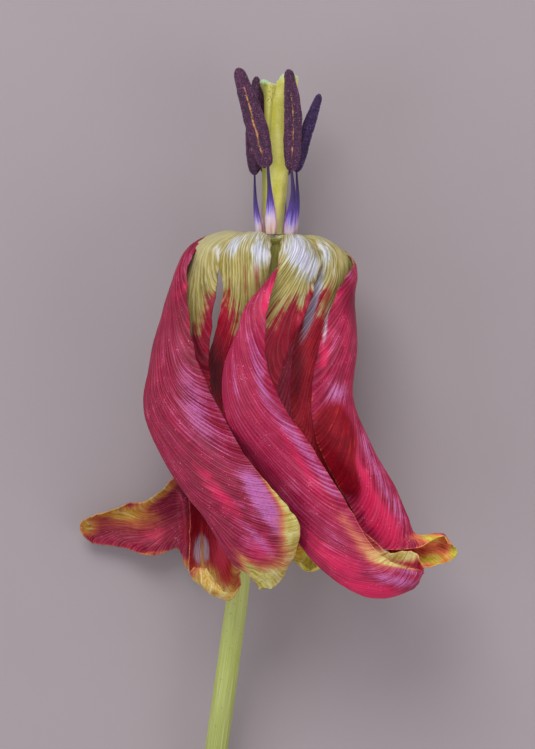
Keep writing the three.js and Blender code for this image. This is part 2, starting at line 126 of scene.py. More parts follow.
def solid(name, points, faces, readings, material):
    """One mesh object at the origin from points in millimetres, with a value per point
    for each name in readings."""
    mesh = bpy.data.meshes.new(name)
    mesh.from_pydata((np.asarray(points) * MM + np.array(FLOWER)).tolist(), [], faces)
    for key, values in readings.items():
        layer = mesh.attributes.new(key, "FLOAT", "POINT")
        layer.data.foreach_set("value", np.asarray(values, np.float32).ravel())
    mesh.polygons.foreach_set("use_smooth", [True] * len(mesh.polygons))
    shape = bmesh.new()
    shape.from_mesh(mesh)
    if shape.calc_volume(signed=True) < 0:
        mesh.flip_normals()
    shape.free()
    mesh.materials.append(material)
    piece = bpy.data.objects.new(name, mesh)
    bpy.context.scene.collection.objects.link(piece)
    return piece


def sleeve(name, rings, readings, material):
    """A closed skin over rings of points (rings, sides, 3), drawn to a point at each end."""
    count, sides = rings.shape[:2]
    points = np.concatenate([rings.reshape(-1, 3), rings[0].mean(0)[None], rings[-1].mean(0)[None]])
    full = {}
    for key, values in readings.items():
        values = np.broadcast_to(values, (count, sides))
        full[key] = np.concatenate([values.ravel(), [values[0].mean(), values[-1].mean()]])
    faces = []
    for s in range(sides):
        n = (s + 1) % sides
        for r in range(count - 1):
            faces.append((r * sides + s, r * sides + n, (r + 1) * sides + n, (r + 1) * sides + s))
        faces.append((count * sides, n, s))
        faces.append((count * sides + 1, (count - 1) * sides + s, (count - 1) * sides + n))
    return solid(name, points, faces, full, material)


def hoops(centres, wide, deep, facing, sides, lean=0.0):
    """Rings round a line of centres. wide lies across the facing direction, deep along it, and
    lean tips a ring over along the line."""
    along = unit(np.gradient(centres, axis=0))
    out = np.broadcast_to(np.asarray(facing, float), centres.shape)
    out = unit(out - along * np.sum(out * along, axis=1, keepdims=True))
    side = np.cross(out, along)
    angle = np.linspace(0, 2 * np.pi, sides, endpoint=False)[None, :, None]
    wide = np.broadcast_to(wide, (len(centres), sides))[..., None]
    deep = np.broadcast_to(deep, (len(centres), sides))[..., None]
    lean = np.broadcast_to(lean, (len(centres),))[:, None, None]
    return (centres[:, None] + side[:, None] * wide * np.cos(angle)
            + (out[:, None] * deep + along[:, None] * lean) * np.sin(angle))


def tint(code):
    """A colour as it looks on screen, written as six hex digits, in the shader's own scale."""
    parts = [int(code[k:k + 2], 16) / 255 for k in (0, 2, 4)]
    return tuple(p / 12.92 if p <= 0.04045 else ((p + 0.055) / 1.055) ** 2.4 for p in parts) + (1.0,)


def add(tree, kind, settings=None, sockets=None):
    """One node. Each of its sockets is given a value, or another node's output to follow."""
    made = tree.nodes.new(kind)
    for key, value in (settings or {}).items():
        setattr(made, key, value)
    for key, value in (sockets or {}).items():
        if isinstance(value, bpy.types.NodeSocket):
            tree.links.new(value, made.inputs[key])
        else:
            made.inputs[key].default_value = value
    return made


def mix(tree, amount, under, over):
    """One colour laid over another. Each is a socket or six hex digits."""
    under, over = (tint(code) if isinstance(code, str) else code for code in (under, over))
    return add(tree, "ShaderNodeMix", {"data_type": "RGBA"}, {0: amount, 6: under, 7: over}).outputs[2]


def sums(tree, how, first, second=0.0, third=0.0):
    """The result of one sum on sockets or numbers."""
    return add(tree, "ShaderNodeMath", {"operation": how}, {0: first, 1: second, 2: third}).outputs[0]


def step(tree, value, low, high, bottom=0.0, top=1.0):
    """Goes softly from bottom to top while value goes from low to high."""
    sockets = {"Value": value, "From Min": low, "From Max": high, "To Min": bottom, "To Max": top}
    return add(tree, "ShaderNodeMapRange", {"interpolation_type": "SMOOTHSTEP"}, sockets).outputs[0]


def reading(tree, name):
    """A value that solid() stored at the piece's points."""
    return add(tree, "ShaderNodeAttribute", {"attribute_name": name}).outputs["Fac"]


def speckle(tree, size_mm, detail=3.0, stretch=None):
    """Cloudy noise on the piece's own coordinates, its blotches about size_mm across."""
    place = add(tree, "ShaderNodeTexCoord").outputs["Object"]
    if stretch:
        place = add(tree, "ShaderNodeMapping", None, {"Vector": place, "Scale": stretch}).outputs[0]
    sockets = {"Vector": place, "Scale": 1 / (size_mm * MM), "Detail": detail, "Roughness": 0.55}
    return add(tree, "ShaderNodeTexNoise", None, sockets).outputs["Fac"]


def surface(name):
    """A new material: its node tree and its Principled shader."""
    material = bpy.data.materials.new(name)
    material.use_nodes = True
    return material, material.node_tree, material.node_tree.nodes["Principled BSDF"]


def translucent(shader, weight, depth_mm, reach=None):
    """Lets light soak into living tissue; reach is how far its red, green and blue travel."""
    shader.inputs["Subsurface Weight"].default_value = weight
    shader.inputs["Subsurface Scale"].default_value = depth_mm * MM
    if reach:
        shader.inputs["Subsurface Radius"].default_value = reach


def relief(tree, shader, height, depth_mm, strength):
    """Fine bumps in the skin, too small for the mesh."""
    bump = add(tree, "ShaderNodeBump", None,
               {"Height": height, "Distance": depth_mm * MM, "Strength": strength})
    tree.links.new(bump.outputs["Normal"], shader.inputs["Normal"])


def stem_material():
    material, tree, shader = surface("stem_skin")
    low = reading(tree, "low")
    cut = reading(tree, "cut")
    girth = reading(tree, "girth")
    lines = add(tree, "ShaderNodeCombineXYZ", None,
                {"X": sums(tree, "MULTIPLY", girth, 46.0), "Y": sums(tree, "MULTIPLY", low, 9.0)})
    fibres = add(tree, "ShaderNodeTexNoise", None,
                 {"Vector": lines.outputs[0], "Scale": 1.0, "Detail": 3.0}).outputs["Fac"]
    clouds = speckle(tree, 6.0)
    skin = mix(tree, step(tree, low, 0.0, 0.4), "8c8a28", "b8c262")
    skin = mix(tree, step(tree, low, 0.38, 0.8), skin, "8c9444")
    skin = mix(tree, step(tree, low, -0.75, -0.35, 1.0, 0.0), skin, "cfcdb2")
    skin = mix(tree, step(tree, fibres, 0.35, 0.7, 0.0, 0.45), skin, "d2d890")
    skin = mix(tree, step(tree, clouds, 0.5, 0.75, 0.0, 0.4), skin, "98a446")
    pocks = speckle(tree, 0.7, 1.0)
    skin = mix(tree, step(tree, pocks, 0.68, 0.74, 0.0, 0.5), skin, "8b7d4a")
    cells = add(tree, "ShaderNodeTexVoronoi", None,
                {"Vector": add(tree, "ShaderNodeTexCoord").outputs["Object"], "Scale": 1 / (PITH_CELL * MM)})
    pith = mix(tree, step(tree, cells.outputs["Distance"], 0.12, 0.3), "7f7c3e", "d8d6a4")
    pith = mix(tree, step(tree, reading(tree, "rim"), 0.72, 0.95), pith, "93904a")
    tree.links.new(mix(tree, cut, skin, pith), shader.inputs["Base Color"])
    tree.links.new(step(tree, clouds, 0.3, 0.7, 0.42, 0.6), shader.inputs["Roughness"])
    translucent(shader, 0.2, 1.2, (0.9, 1.0, 0.35))
    relief(tree, shader, sums(tree, "ADD", fibres, clouds), 0.12, 0.6)
    return material


def stem():
    t = np.linspace(len(STEM_PATH) - 1, 0, STEM_RINGS)
    centres = through(STEM_PATH, t)
    thickening = np.minimum(1, t / STEM_THICKENS_OVER)
    radius = STEM_RADIUS_TOP + (STEM_RADIUS_LOW - STEM_RADIUS_TOP) * thickening
    crown = np.array(CROWN_PROFILE)
    centres = np.concatenate([centres, np.stack(
        [np.full(len(crown), CROWN_MIDDLE), crown[:, 0], np.zeros(len(crown))], axis=1)])
    radius = np.concatenate([radius, crown[:, 1]])
    low = np.concatenate([t / (len(STEM_PATH) - 1), -np.arange(len(crown)) / (len(crown) - 1)])
    angle = np.linspace(0, 1, STEM_SIDES, endpoint=False)[None]
    length = -centres[:, 1:2]
    ribbed = (1 + 0.012 * np.sin(2 * np.pi * STEM_RIDGES * angle + swell(length / 14, angle * 0, 3) * 2)
              + 0.012 * swell(length / 5, angle * 4, 4) + 0.02 * swell(length / 30, angle * 2, 5))
    on_crown = np.clip(-low, 0, 1)[:, None]
    ribbed = ribbed + 0.04 * on_crown * (np.sin(2 * np.pi * 11 * angle) + np.sin(2 * np.pi * 17 * angle + 1))
    lean = -CUT_SLANT * np.maximum(0, 1 - np.arange(len(centres)) / CUT_RINGS)
    rings = hoops(centres, radius[:, None] * ribbed, radius[:, None] * ribbed, (0, 0, 1), STEM_SIDES, lean)
    rings[..., 1] += 0.15 * on_crown * (np.sin(2 * np.pi * 7 * angle + 2) + np.sin(2 * np.pi * 13 * angle))
    # the cut: rings drawn in from the slanting edge, dried a little hollow
    middle = rings[0].mean(0)
    inward = unit(centres[1] - middle)
    caps, rim = [], []
    for share in (0.02, 0.25, 0.5, 0.72, 0.86, 0.95, 0.99):
        hollow = CUT_HOLLOW * (1 - share ** 3)
        caps.append(middle + (rings[0] - middle) * share + inward * hollow)
        rim.append(share)
    rings = np.concatenate([np.array(caps), rings])
    pad = np.zeros(len(caps))
    low = np.concatenate([pad + 1, low])[:, None]
    cut = np.concatenate([pad + 1, np.zeros(len(centres))])[:, None]
    girth = np.abs(angle - 0.5) * 2
    rim = np.concatenate([rim, np.ones(len(centres))])[:, None]
    return sleeve("stem_stalk", rings, {"low": low, "cut": cut, "girth": girth, "rim": rim},
                  stem_material())


stalk = stem()
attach(stalk, "root")
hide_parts("stem")


# ---------------------------------------------------------------- left tepal
# A tulip tepal is one thin fleshy blade, veined from its base, that has lost its stiffness.
# This one has bent straight back over the crown, and its far margin has rolled in over the
# yellow-green inner face, so the crimson outer face shows its lilac bloom and painted sheen.

BLADE_ROWS = 300
BLADE_COLUMNS = 121
BLADE_THICKNESS = 0.36
BLADE_EDGE = 0.12
PLUMP_WITHIN = 2.5               # how far in from the edge the full thickness is reached
TIP_FROM = 0.972                 # the share of the length at which the tip starts to round off
TIP_ROUNDING = 0.0282
VEIN_SPREAD = 5.0                # how strongly veins swing out to the margins near the tip
VEIN_LATE = 2.6                  # how near the tip they do so
VEIN_GAP = 5.0                   # the half width at which the veins start to fork
VEIN_ARCH = 0.45 * math.pi       # how much further apart the veins lie towards the margins
RIB_HEIGHT = 0.017
MIDRIB_DEPTH = 0.2
MIDRIB_WIDTH = 0.7
RUFFLE_HEIGHT = 0.32
RAGGED_EDGE = 0.16
# the bloom patches are waxy bloom with painted sheen laid in them
# the darkening patches are painted shade, in creases, under overlaps and along silhouettes
PATCHES = ("bloom_and_sheen", "rose", "yellow", "red", "painted_shade", "white")

LEFT_RIBS = [
    [(-3.1, 0.1, -1.6), (-3.5, 0.3, -0.9), (-3.7, 0.4, -0.1), (-3.6, 0.4, 0.8), (-3.2, 0.2, 1.6)],
    [(-8.2, 1.4, -4.0), (-8.7, 1.8, -2.4), (-8.8, 1.8, -0.4), (-8.3, 1.2, 2.0), (-7.2, 0.2, 4.0)],
    [(-13.6, 0.9, -3.4), (-15.0, 0.2, -2.8), (-15.2, -0.5, -0.6),
     (-13.2, -1.0, 3.0), (-10.2, -3.2, 5.4)],
    [(-16.6, -3.8, 4.2), (-18.6, -3.8, 2.4), (-18.2, -4.6, 0.2),
     (-15.0, -5.4, 4.0), (-11.2, -7.6, 6.4)],
    [(-17.4, -11.0, 9.0), (-20.4, -10.8, 7.2), (-21.0, -10.8, 3.2),
     (-17.0, -11.4, 6.0), (-12.0, -12.4, 7.2)],
    [(-15.6, -23.0, 13.4), (-20.4, -24.0, 13.2), (-24.6, -24.6, 7.0),
     (-19.2, -24.6, 6.4), (-13.0, -23.6, 7.2)],
    [(-11.6, -32.4, 16.2), (-18.4, -34.0, 18.0), (-25.0, -35.4, 11.4),
     (-19.4, -34.6, 8.0), (-12.4, -31.8, 7.4)],
    [(-5.4, -43.1, 20.2), (-11.6, -44.9, 22.2), (-18.9, -47.7, 16.0),
     (-14.2, -45.6, 11.0), (-9.6, -42.6, 9.4)],
    [(0.0, -49.8, 22.0), (-6.2, -51.8, 23.4), (-13.4, -54.8, 17.8),
     (-9.8, -52.2, 12.6), (-6.0, -49.6, 11.0)],
    [(4.5, -55.6, 21.2), (-1.6, -58.6, 22.4), (-9.2, -62.0, 17.6),
     (-5.6, -59.4, 13.4), (-2.0, -56.6, 11.8)],
    [(4.2, -61.0, 18.4), (0.4, -63.2, 19.2), (-5.2, -65.8, 15.6),
     (-2.6, -64.0, 12.6), (0.2, -62.0, 11.8)],
    [(0.6, -68.0, 12.4), (-0.8, -68.8, 12.8), (-2.8, -68.8, 12.8),
     (-1.6, -68.2, 12.0), (0.0, -67.6, 11.8)],
]


def vein_lines(across, along, half_width):
    """Where each point lies between the veins, and how many times a vein has forked there."""
    side = np.sign(across - 0.5)
    x = np.abs(across - 0.5) * 2
    swing = VEIN_SPREAD * along ** VEIN_LATE
    vein = side * np.sin(VEIN_ARCH * x) / math.sin(VEIN_ARCH) * np.exp(-swing)
    forks = np.log2(np.maximum(half_width, 1) * np.exp(swing) / VEIN_GAP)
    return vein, np.maximum(forks, 0)


def mark(points, x, y, long, wide, lean):
    """A soft oval patch, 1 in its middle, its long axis turned lean degrees from hanging
    straight down towards the right."""
    turn = math.radians(lean)
    dx, dy = points[..., 0] - x, points[..., 1] - y
    down = dx * math.sin(turn) - dy * math.cos(turn)
    over = dx * math.cos(turn) + dy * math.sin(turn)
    return np.exp(-(down / long) ** 2 - (over / wide) ** 2)


def wilting(across, along, width, length, from_edge, vein, forks, seed):
    """How far each point stands off the smooth blade, in millimetres: ribs between the veins,
    the midrib's groove, limp dents, a ruffled margin and shrivelled skin."""
    x_mm, y_mm = across * width, along * length
    ribbing = 0
    for level in (np.floor(forks), np.floor(forks) + 1):
        share = 1 - np.abs(forks - level)
        wander = 2.5 * swell(y_mm / 9 + 13.7 * level, vein * 5 * 2 ** level, seed)
        ribbing = ribbing + share * np.sin(2 * np.pi * vein * 4.5 * 2 ** level + wander)
    ribbing = ribbing * (0.5 + 0.5 * swell(x_mm / 6, y_mm / 9, seed + 9))
    midrib = -np.exp(-((across - 0.5) * width / MIDRIB_WIDTH) ** 2) * (1 - 0.5 * along)
    limp = swell(x_mm / 5.5, y_mm / 8, seed + 10) * 0.26 + swell(x_mm / 2.4, y_mm / 3.4, seed + 11) * 0.1
    ruffle = np.exp(-from_edge / 2.6) * swell(y_mm / 3.6, np.sign(across - 0.5) * 3 + x_mm * 0, seed + 12)
    ruffle = ruffle + 0.5 * np.exp(-from_edge / 1.2) * swell(y_mm / 1.5, across * 2, seed + 13)
    shrivel = swell(x_mm / 1.1, y_mm / 1.5, seed + 15) * (0.02 + 0.07 * along ** 2)
    return ribbing * RIB_HEIGHT + midrib * MIDRIB_DEPTH + (limp + ruffle * RUFFLE_HEIGHT + shrivel)


def normals(sheet):
    """The way each point of a grid of points faces."""
    return unit(np.cross(np.gradient(sheet, axis=0), np.gradient(sheet, axis=1)))


def blade(name, ribs, seed, green_to, outer_green, marks, material):
    """One tepal from its ribs. green_to says how far down the green base of the inner face
    reaches, at five places from margin to margin, and outer_green the same for the outer face.
    marks are oval patches by kind, each its strength and then where mark() puts it."""
    ribs = np.array(ribs)
    u = np.linspace(0, 1, BLADE_ROWS)
    v = np.linspace(0, 1, BLADE_COLUMNS)
    across = np.broadcast_to(v[None], (BLADE_ROWS, BLADE_COLUMNS)).copy()
    along = np.broadcast_to(u[:, None], across.shape)
    round_tip = np.sqrt(1 - np.clip((along - TIP_FROM) / TIP_ROUNDING, 0, 1) ** 2)
    across = 0.5 + (across - 0.5) * round_tip
    lengthwise = through(ribs, u * (len(ribs) - 1))
    middle = np.stack([through(line, a * (ribs.shape[1] - 1)) for line, a in zip(lengthwise, across)])

    steps = np.linalg.norm(np.diff(middle, axis=1), axis=2)
    width = steps.sum(1)[:, None] / np.maximum(np.ptp(across, axis=1)[:, None], 0.05)
    length = np.linalg.norm(np.diff(middle[:, BLADE_COLUMNS // 2], axis=0), axis=1).sum()
    from_edge = np.minimum(np.minimum(across, 1 - across) * width, (1.004 - along) * length)
    from_edge = np.maximum(from_edge, 0)
    vein, forks = vein_lines(across, along, width / 2)

    settle = np.clip(along / 0.05, 0, 1)
    height = wilting(across, along, width, length, from_edge, vein, forks, seed) * settle
    nicks = swell(along * length / 1.6, across * 9, seed + 14)
    ragged = np.sign(across - 0.5) * np.exp(-from_edge / 1.0) * nicks
    ragged = ragged * RAGGED_EDGE * settle
    facing, sideways = normals(middle), unit(np.gradient(middle, axis=1))
    middle = middle + facing * height[..., None] + sideways * ragged[..., None]

    plump = np.sqrt(np.clip(from_edge / PLUMP_WITHIN, 0, 1))
    half = 0.5 * (BLADE_EDGE + (BLADE_THICKNESS - BLADE_EDGE) * plump)[..., None]
    facing = normals(middle)
    inner, outer = middle + facing * half, middle - facing * half
    count = inner.shape[0] * inner.shape[1]
    index = np.arange(count).reshape(inner.shape[:2])
    a, b = index[:-1, :-1].ravel(), index[1:, :-1].ravel()
    c, d = index[1:, 1:].ravel(), index[:-1, 1:].ravel()
    faces = [np.stack([a, b, c, d], 1), np.stack([d, c, b, a], 1) + count]
    rim = np.concatenate([index[:, 0], index[-1, 1:], index[-2::-1, -1], index[0, -2:0:-1]])
    after = np.roll(rim, -1)
    faces.append(np.stack([rim, rim + count, after + count, after], 1))
    faces = np.concatenate(faces).tolist()

    reach = through(np.array(green_to)[:, None], v * (len(green_to) - 1))[:, 0]
    fields = {"vein": vein, "forks": forks, "along": along, "from_edge": from_edge,
              "green": 0.5 + (reach[None] - along) * 4}
    for kind in PATCHES:
        fields[kind] = np.zeros(along.shape)
        for amount, *place in marks.get(kind, ()):
            fields[kind] = fields[kind] + amount * mark(middle, *place)
    readings = {key: np.stack([value, value]) for key, value in fields.items()}
    readings["green"][1] = 0.5 + (outer_green - along) * 5
    readings["inside"] = np.stack([np.ones(along.shape), np.zeros(along.shape)])
    points = np.concatenate([inner.reshape(-1, 3), outer.reshape(-1, 3)])
    return solid(name, points, faces, readings, material)


def vein_group():
    """Streaks and thin threads that run between the veins and fork with them. Lines sets how
    many there are, Stretch how long a streak holds."""
    tree = bpy.data.node_groups.new("Vein streaks", "ShaderNodeTree")
    for name in ("Vein", "Forks", "Along", "Lines", "Stretch"):
        tree.interface.new_socket(name, in_out="INPUT", socket_type="NodeSocketFloat")
    for name in ("Streak", "Thread"):
        tree.interface.new_socket(name, in_out="OUTPUT", socket_type="NodeSocketFloat")
    given = add(tree, "NodeGroupInput").outputs
    drawn = sums(tree, "MULTIPLY", given["Along"], given["Stretch"])
    forked = sums(tree, "FLOOR", given["Forks"])
    further = sums(tree, "SUBTRACT", given["Forks"], forked)
    levels = []
    for extra in (0.0, 1.0):
        level = sums(tree, "ADD", forked, extra)
        lined = sums(tree, "MULTIPLY", given["Vein"], given["Lines"])
        lined = sums(tree, "MULTIPLY", lined, sums(tree, "POWER", 2.0, level))
        place = add(tree, "ShaderNodeCombineXYZ", None, {
            "X": sums(tree, "MULTIPLY_ADD", level, 31.7, lined),
            "Y": sums(tree, "MULTIPLY_ADD", level, 5.3, drawn)})
        noise = add(tree, "ShaderNodeTexNoise", {"noise_dimensions": "2D"},
                    {"Vector": place.outputs[0], "Scale": 1.0, "Detail": 2.0, "Roughness": 0.6})
        turn = sums(tree, "MULTIPLY_ADD", noise.outputs["Fac"], 1.1, sums(tree, "MULTIPLY", lined, 0.45))
        levels.append((noise.outputs["Fac"], sums(tree, "PINGPONG", turn, 0.5)))
    out = add(tree, "NodeGroupOutput")
    for k, name in enumerate(("Streak", "Thread")):
        both = add(tree, "ShaderNodeMix", {"data_type": "FLOAT"},
                   {0: further, 2: levels[0][k], 3: levels[1][k]})
        tree.links.new(both.outputs[0], out.inputs[name])
    return tree


VEINS = vein_group()


def streaks(tree, lines, stretch):
    """The vein group on one material: its broad streaks and its thin threads."""
    made = add(tree, "ShaderNodeGroup", {"node_tree": VEINS}, {
        "Vein": reading(tree, "vein"), "Forks": reading(tree, "forks"),
        "Along": reading(tree, "along"), "Lines": lines, "Stretch": stretch})
    return made.outputs["Streak"], made.outputs["Thread"]


def tepal_material(name, outside, inside, bloom_and_sheen, edge, lip):
    """Tepal flesh. outside and inside are each face's darker and brighter shade; the third colour is the
    waxy bloom outside, with painted sheen laid in it; edge is what the flesh fades through to lip, the two
    yellows of the margin."""
    material, tree, shader = surface(name)
    fine, thread = streaks(tree, 19.0, 18.0)
    broad, veins = streaks(tree, 4.5, 6.0)
    clouds = speckle(tree, 3.0, 4.0)
    grit = speckle(tree, 0.45, 2.0)
    line = sums(tree, "SUBTRACT", fine, 0.5)
    pulled = sums(tree, "SUBTRACT", broad, 0.5)
    cloud = sums(tree, "SUBTRACT", clouds, 0.5)
    lined = step(tree, thread, 0.16, 0.46)
    veined = step(tree, veins, 0.30, 0.49)
    shade = sums(tree, "MULTIPLY_ADD", cloud, 0.55, 0.5)
    shade = sums(tree, "MULTIPLY_ADD", pulled, 0.5, sums(tree, "MULTIPLY_ADD", line, 0.65, shade))
    shade = sums(tree, "MULTIPLY_ADD", sums(tree, "SUBTRACT", grit, 0.5), 0.35, shade)

    def where(kind, low, high, pull=0.5, ragged=0.5):
        """1 inside a kind of patch; its rim is drawn out along the veins and clouded."""
        shaped = sums(tree, "MULTIPLY_ADD", pulled, pull, reading(tree, kind))
        shaped = sums(tree, "MULTIPLY_ADD", cloud, 0.6, shaped)
        return step(tree, sums(tree, "MULTIPLY_ADD", line, ragged, shaped), low, high)

    outer = mix(tree, step(tree, shade, 0.3, 0.72), outside[0], outside[1])
    outer = mix(tree, where("rose", 0.2, 1.0, 0.8), outer, "d61c56")
    # real waxy bloom, and painted sheen: these patches also stand in for the sheen the skin shows in the
    # light
    haze_and_sheen = where("bloom_and_sheen", 0.15, 1.2, 1.3, 1.6)
    outer = mix(tree, sums(tree, "MULTIPLY", lined, 0.16), outer, "e27a94")
    outer = mix(tree, sums(tree, "MULTIPLY", veined, 0.07), outer, "e07898")
    outer = mix(tree, sums(tree, "MULTIPLY", sums(tree, "MULTIPLY", lined, haze_and_sheen), 0.5), outer,
                "e6a4d0")
    # painted highlights: tiny pale pink specks standing in for glints off the rough skin
    painted_sparkle = sums(tree, "MULTIPLY", step(tree, speckle(tree, 0.3, 1.0), 0.68, 0.74, 0.0, 0.55),
                   step(tree, clouds, 0.45, 0.6))
    outer = mix(tree, painted_sparkle, outer, "e4b4d0")
    haze_and_sheen = sums(tree, "MULTIPLY", haze_and_sheen, step(tree, grit, 0.3, 0.62, 0.5, 1.0))
    haze_and_sheen = sums(tree, "MULTIPLY", haze_and_sheen, step(tree, fine, 0.36, 0.6, 0.5, 1.0))
    outer = mix(tree, haze_and_sheen, outer, bloom_and_sheen)
    outer = mix(tree, where("red", 0.3, 0.8, 0.5, 0.9), outer,
                mix(tree, step(tree, shade, 0.3, 0.7), "720518", "980a22"))
    # painted shade: the outer face darkened where creases, overlaps and silhouettes fall in shadow
    outer = mix(tree, where("painted_shade", 0.2, 1.1), outer, "560a20")

    inner = mix(tree, step(tree, shade, 0.3, 0.72), inside[0], inside[1])
    inner = mix(tree, sums(tree, "MULTIPLY", lined, 0.2), inner, "d4607a")
    # painted shade on the inner face, the same patches
    inner = mix(tree, where("painted_shade", 0.2, 1.1), inner, "4a1822")
    inner = mix(tree, where("rose", 0.2, 1.0, 0.8), inner, "d43c5a")

    combed = sums(tree, "MULTIPLY_ADD", pulled, 0.9, fine)
    base = mix(tree, step(tree, combed, 0.3, 0.7), "82742c", "b0a056")
    base = mix(tree, step(tree, reading(tree, "green"), 1.0, 2.0), base, "b0a878")
    base = mix(tree, sums(tree, "MULTIPLY", lined, 0.45), base, "d6cfa4")
    pale = mix(tree, step(tree, fine, 0.40, 0.58), "98a69a", "e6eef8")
    base = mix(tree, where("white", 0.1, 1.0, 0.9, 1.2), base, pale)
    greened = where("green", 0.34, 0.62, 0.9)
    inner = mix(tree, greened, inner, base)
    outer = mix(tree, greened, outer, base)
    inner = mix(tree, where("red", 0.3, 0.9), inner, "98142a")
    skin = mix(tree, reading(tree, "inside"), outer, inner)
    whitened = sums(tree, "MULTIPLY", where("white", 0.35, 1.1, 0.9, 0.9), 0.8)
    skin = mix(tree, whitened, skin, mix(tree, lined, "a8a0bc", "e4e2f0"))
    margin = step(tree, reading(tree, "from_edge"), 0.0, 0.4, 0.36, 0.0)
    fade = step(tree, reading(tree, "along"), 0.35, 0.7, 0.25, 1.0)
    frayed = sums(tree, "MULTIPLY_ADD", margin, fade, reading(tree, "yellow"))
    frayed = sums(tree, "MULTIPLY_ADD", pulled, 0.4, frayed)
    frayed = sums(tree, "MULTIPLY_ADD", cloud, 0.5, frayed)
    frayed = sums(tree, "MULTIPLY_ADD", line, 0.8, frayed)
    skin = mix(tree, step(tree, frayed, 0.08, 0.7), skin, edge)
    gilt = mix(tree, step(tree, shade, 0.34, 0.66), lip[0], lip[1])
    gilt = mix(tree, sums(tree, "MULTIPLY", veined, 0.35), gilt, "efe9c0")
    skin = mix(tree, step(tree, frayed, 0.4, 1.15), skin, gilt)
    tree.links.new(skin, shader.inputs["Base Color"])
    tree.links.new(sums(tree, "MULTIPLY_ADD", grit, 0.3, 0.32), shader.inputs["Roughness"])
    translucent(shader, 0.2, 0.5, (1.0, 0.3, 0.3))
    shader.inputs["Specular IOR Level"].default_value = 0.16
    height = sums(tree, "MULTIPLY_ADD", thread, 0.9, sums(tree, "MULTIPLY", grit, 0.7))
    height = sums(tree, "MULTIPLY_ADD", veins, 0.3, height)
    relief(tree, shader, height, 0.1, 0.9)
    return material


def grow_tepal(side, ribs, seed, green_to, outer_green, marks, *shades):
    """One finished tepal. shades are the colours that tepal_material asks for."""
    node = f"tepal_{side}"
    flesh = tepal_material(f"{node}_flesh", *shades)
    piece = blade(f"tepal_blade_{side}", ribs, seed, green_to, outer_green, marks, flesh)
    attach(piece, "root")
    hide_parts(node)


left_marks = {
    # bloom patches: waxy bloom, with painted sheen laid in
    "bloom_and_sheen": [(0.38, -17.4, -28.0, 7.0, 2.4, 10), (0.5, -15.2, -33.5, 5.0, 2.2, 20),
              (0.35, -12.5, -39.5, 5.0, 2.6, 40), (0.45, -8.2, -37.5, 9.0, 1.1, 32),
              (1.6, -3.6, -49.4, 4.4, 1.8, 36), (1.2, -0.2, -54.8, 5.0, 1.6, 34),
              (0.4, -3.4, -58.5, 6.0, 0.8, 42), (0.3, -8.0, -50.6, 6.0, 0.7, 45),
              (0.5, -16.3, -4.4, 3.2, 0.8, -30), (0.4, -3.0, -60.5, 5.5, 3.0, 40)],
    "rose": [(0.6, -17.6, -9.0, 3.6, 1.0, -26), (0.8, -10.6, -50.0, 8.0, 1.8, 40),
             (0.75, -2.6, -62.0, 4.4, 4.4, 30)],
    "yellow": [(0.5, -7.4, -36.6, 7.0, 0.7, 34), (1.5, 4.0, -56.5, 7.4, 2.8, 4),
               (0.9, 0.8, -50.2, 4.6, 1.1, 42), (1.4, -0.6, -68.4, 6.8, 4.6, 94),
               (0.6, -5.2, -64.0, 4.0, 1.0, 40)],
    # the darkening patches are painted shade
    "painted_shade": [(0.4, -22.0, -35.0, 9.0, 1.8, 14), (0.45, -16.0, -46.0, 7.0, 1.4, 38),
             (0.55, -18.6, -15.0, 9.0, 2.4, -20)],
    "white": [(0.5, -11.0, -3.4, 3.2, 0.9, 10)],
}
grow_tepal("left", LEFT_RIBS, 100, [0.07, 0.46, 0.56, 0.49, 0.32], 0.03, left_marks,
           ("720a28", "9e1440"), ("7c0e28", "b8143c"), "c06cb4", "c86a4c", ("aa9632", "d8ce80"))


# ---------------------------------------------------------------- front left tepal
# The blade behind the left one. It stays open, inner face out, bulges over the crown with
# long green flames, hangs in the shade of its neighbours, and ends in a scoop with a white
# midrib and curled orange lips.

FRONT_LEFT_RIBS = [
    [(-2.9, 0.2, 2.6), (-2.4, 0.3, 3.0), (-1.9, 0.4, 3.3), (-1.3, 0.3, 3.4), (-0.8, 0.1, 3.3)],
    [(-7.0, 0.7, 5.8), (-5.8, 1.1, 7.2), (-4.2, 1.1, 8.2), (-2.6, 0.6, 8.6), (-0.9, -0.6, 8.0)],
    [(-10.8, -3.4, 8.8), (-8.6, -2.4, 11.4), (-6.0, -2.2, 13.0),
     (-3.4, -2.6, 13.4), (-1.0, -4.0, 12.6)],
    [(-10.2, -8.8, 11.0), (-8.4, -8.6, 13.0), (-6.0, -8.6, 13.8),
     (-3.6, -8.8, 13.6), (-1.6, -9.0, 12.4)],
    [(-11.2, -16.0, 8.0), (-9.0, -16.0, 10.0), (-6.6, -16.0, 11.0),
     (-4.4, -16.0, 10.8), (-2.6, -16.0, 9.8)],
    [(-14.2, -27.0, 1.8), (-11.6, -27.0, 4.2), (-9.4, -27.0, 5.6),
     (-7.2, -27.0, 6.2), (-5.2, -27.0, 5.8)],
    [(-16.2, -40.0, 0.2), (-14.0, -40.0, 2.2), (-12.0, -40.0, 3.2),
     (-10.0, -40.0, 3.4), (-8.0, -40.0, 2.8)],
    [(-17.0, -52.0, 5.0), (-15.2, -52.0, 3.8), (-13.2, -52.0, 3.2),
     (-11.0, -52.0, 3.6), (-9.2, -52.0, 5.0)],
    [(-17.2, -60.0, 8.0), (-16.0, -60.0, 5.2), (-13.4, -60.0, 3.6),
     (-10.2, -60.5, 4.2), (-7.6, -60.0, 8.0)],
    [(-16.8, -65.4, 9.4), (-15.8, -67.4, 6.4), (-12.4, -69.4, 4.8),
     (-9.0, -69.8, 5.2), (-6.8, -66.5, 8.6)],
    [(-16.0, -65.0, 11.6), (-15.2, -67.0, 10.8), (-12.6, -69.6, 10.0),
     (-9.4, -71.0, 9.6), (-7.2, -69.0, 10.2)],
    [(-15.0, -64.8, 11.2), (-13.6, -65.0, 11.8), (-12.0, -66.6, 12.0),
     (-10.6, -68.6, 11.8), (-9.4, -69.8, 11.2)],
]

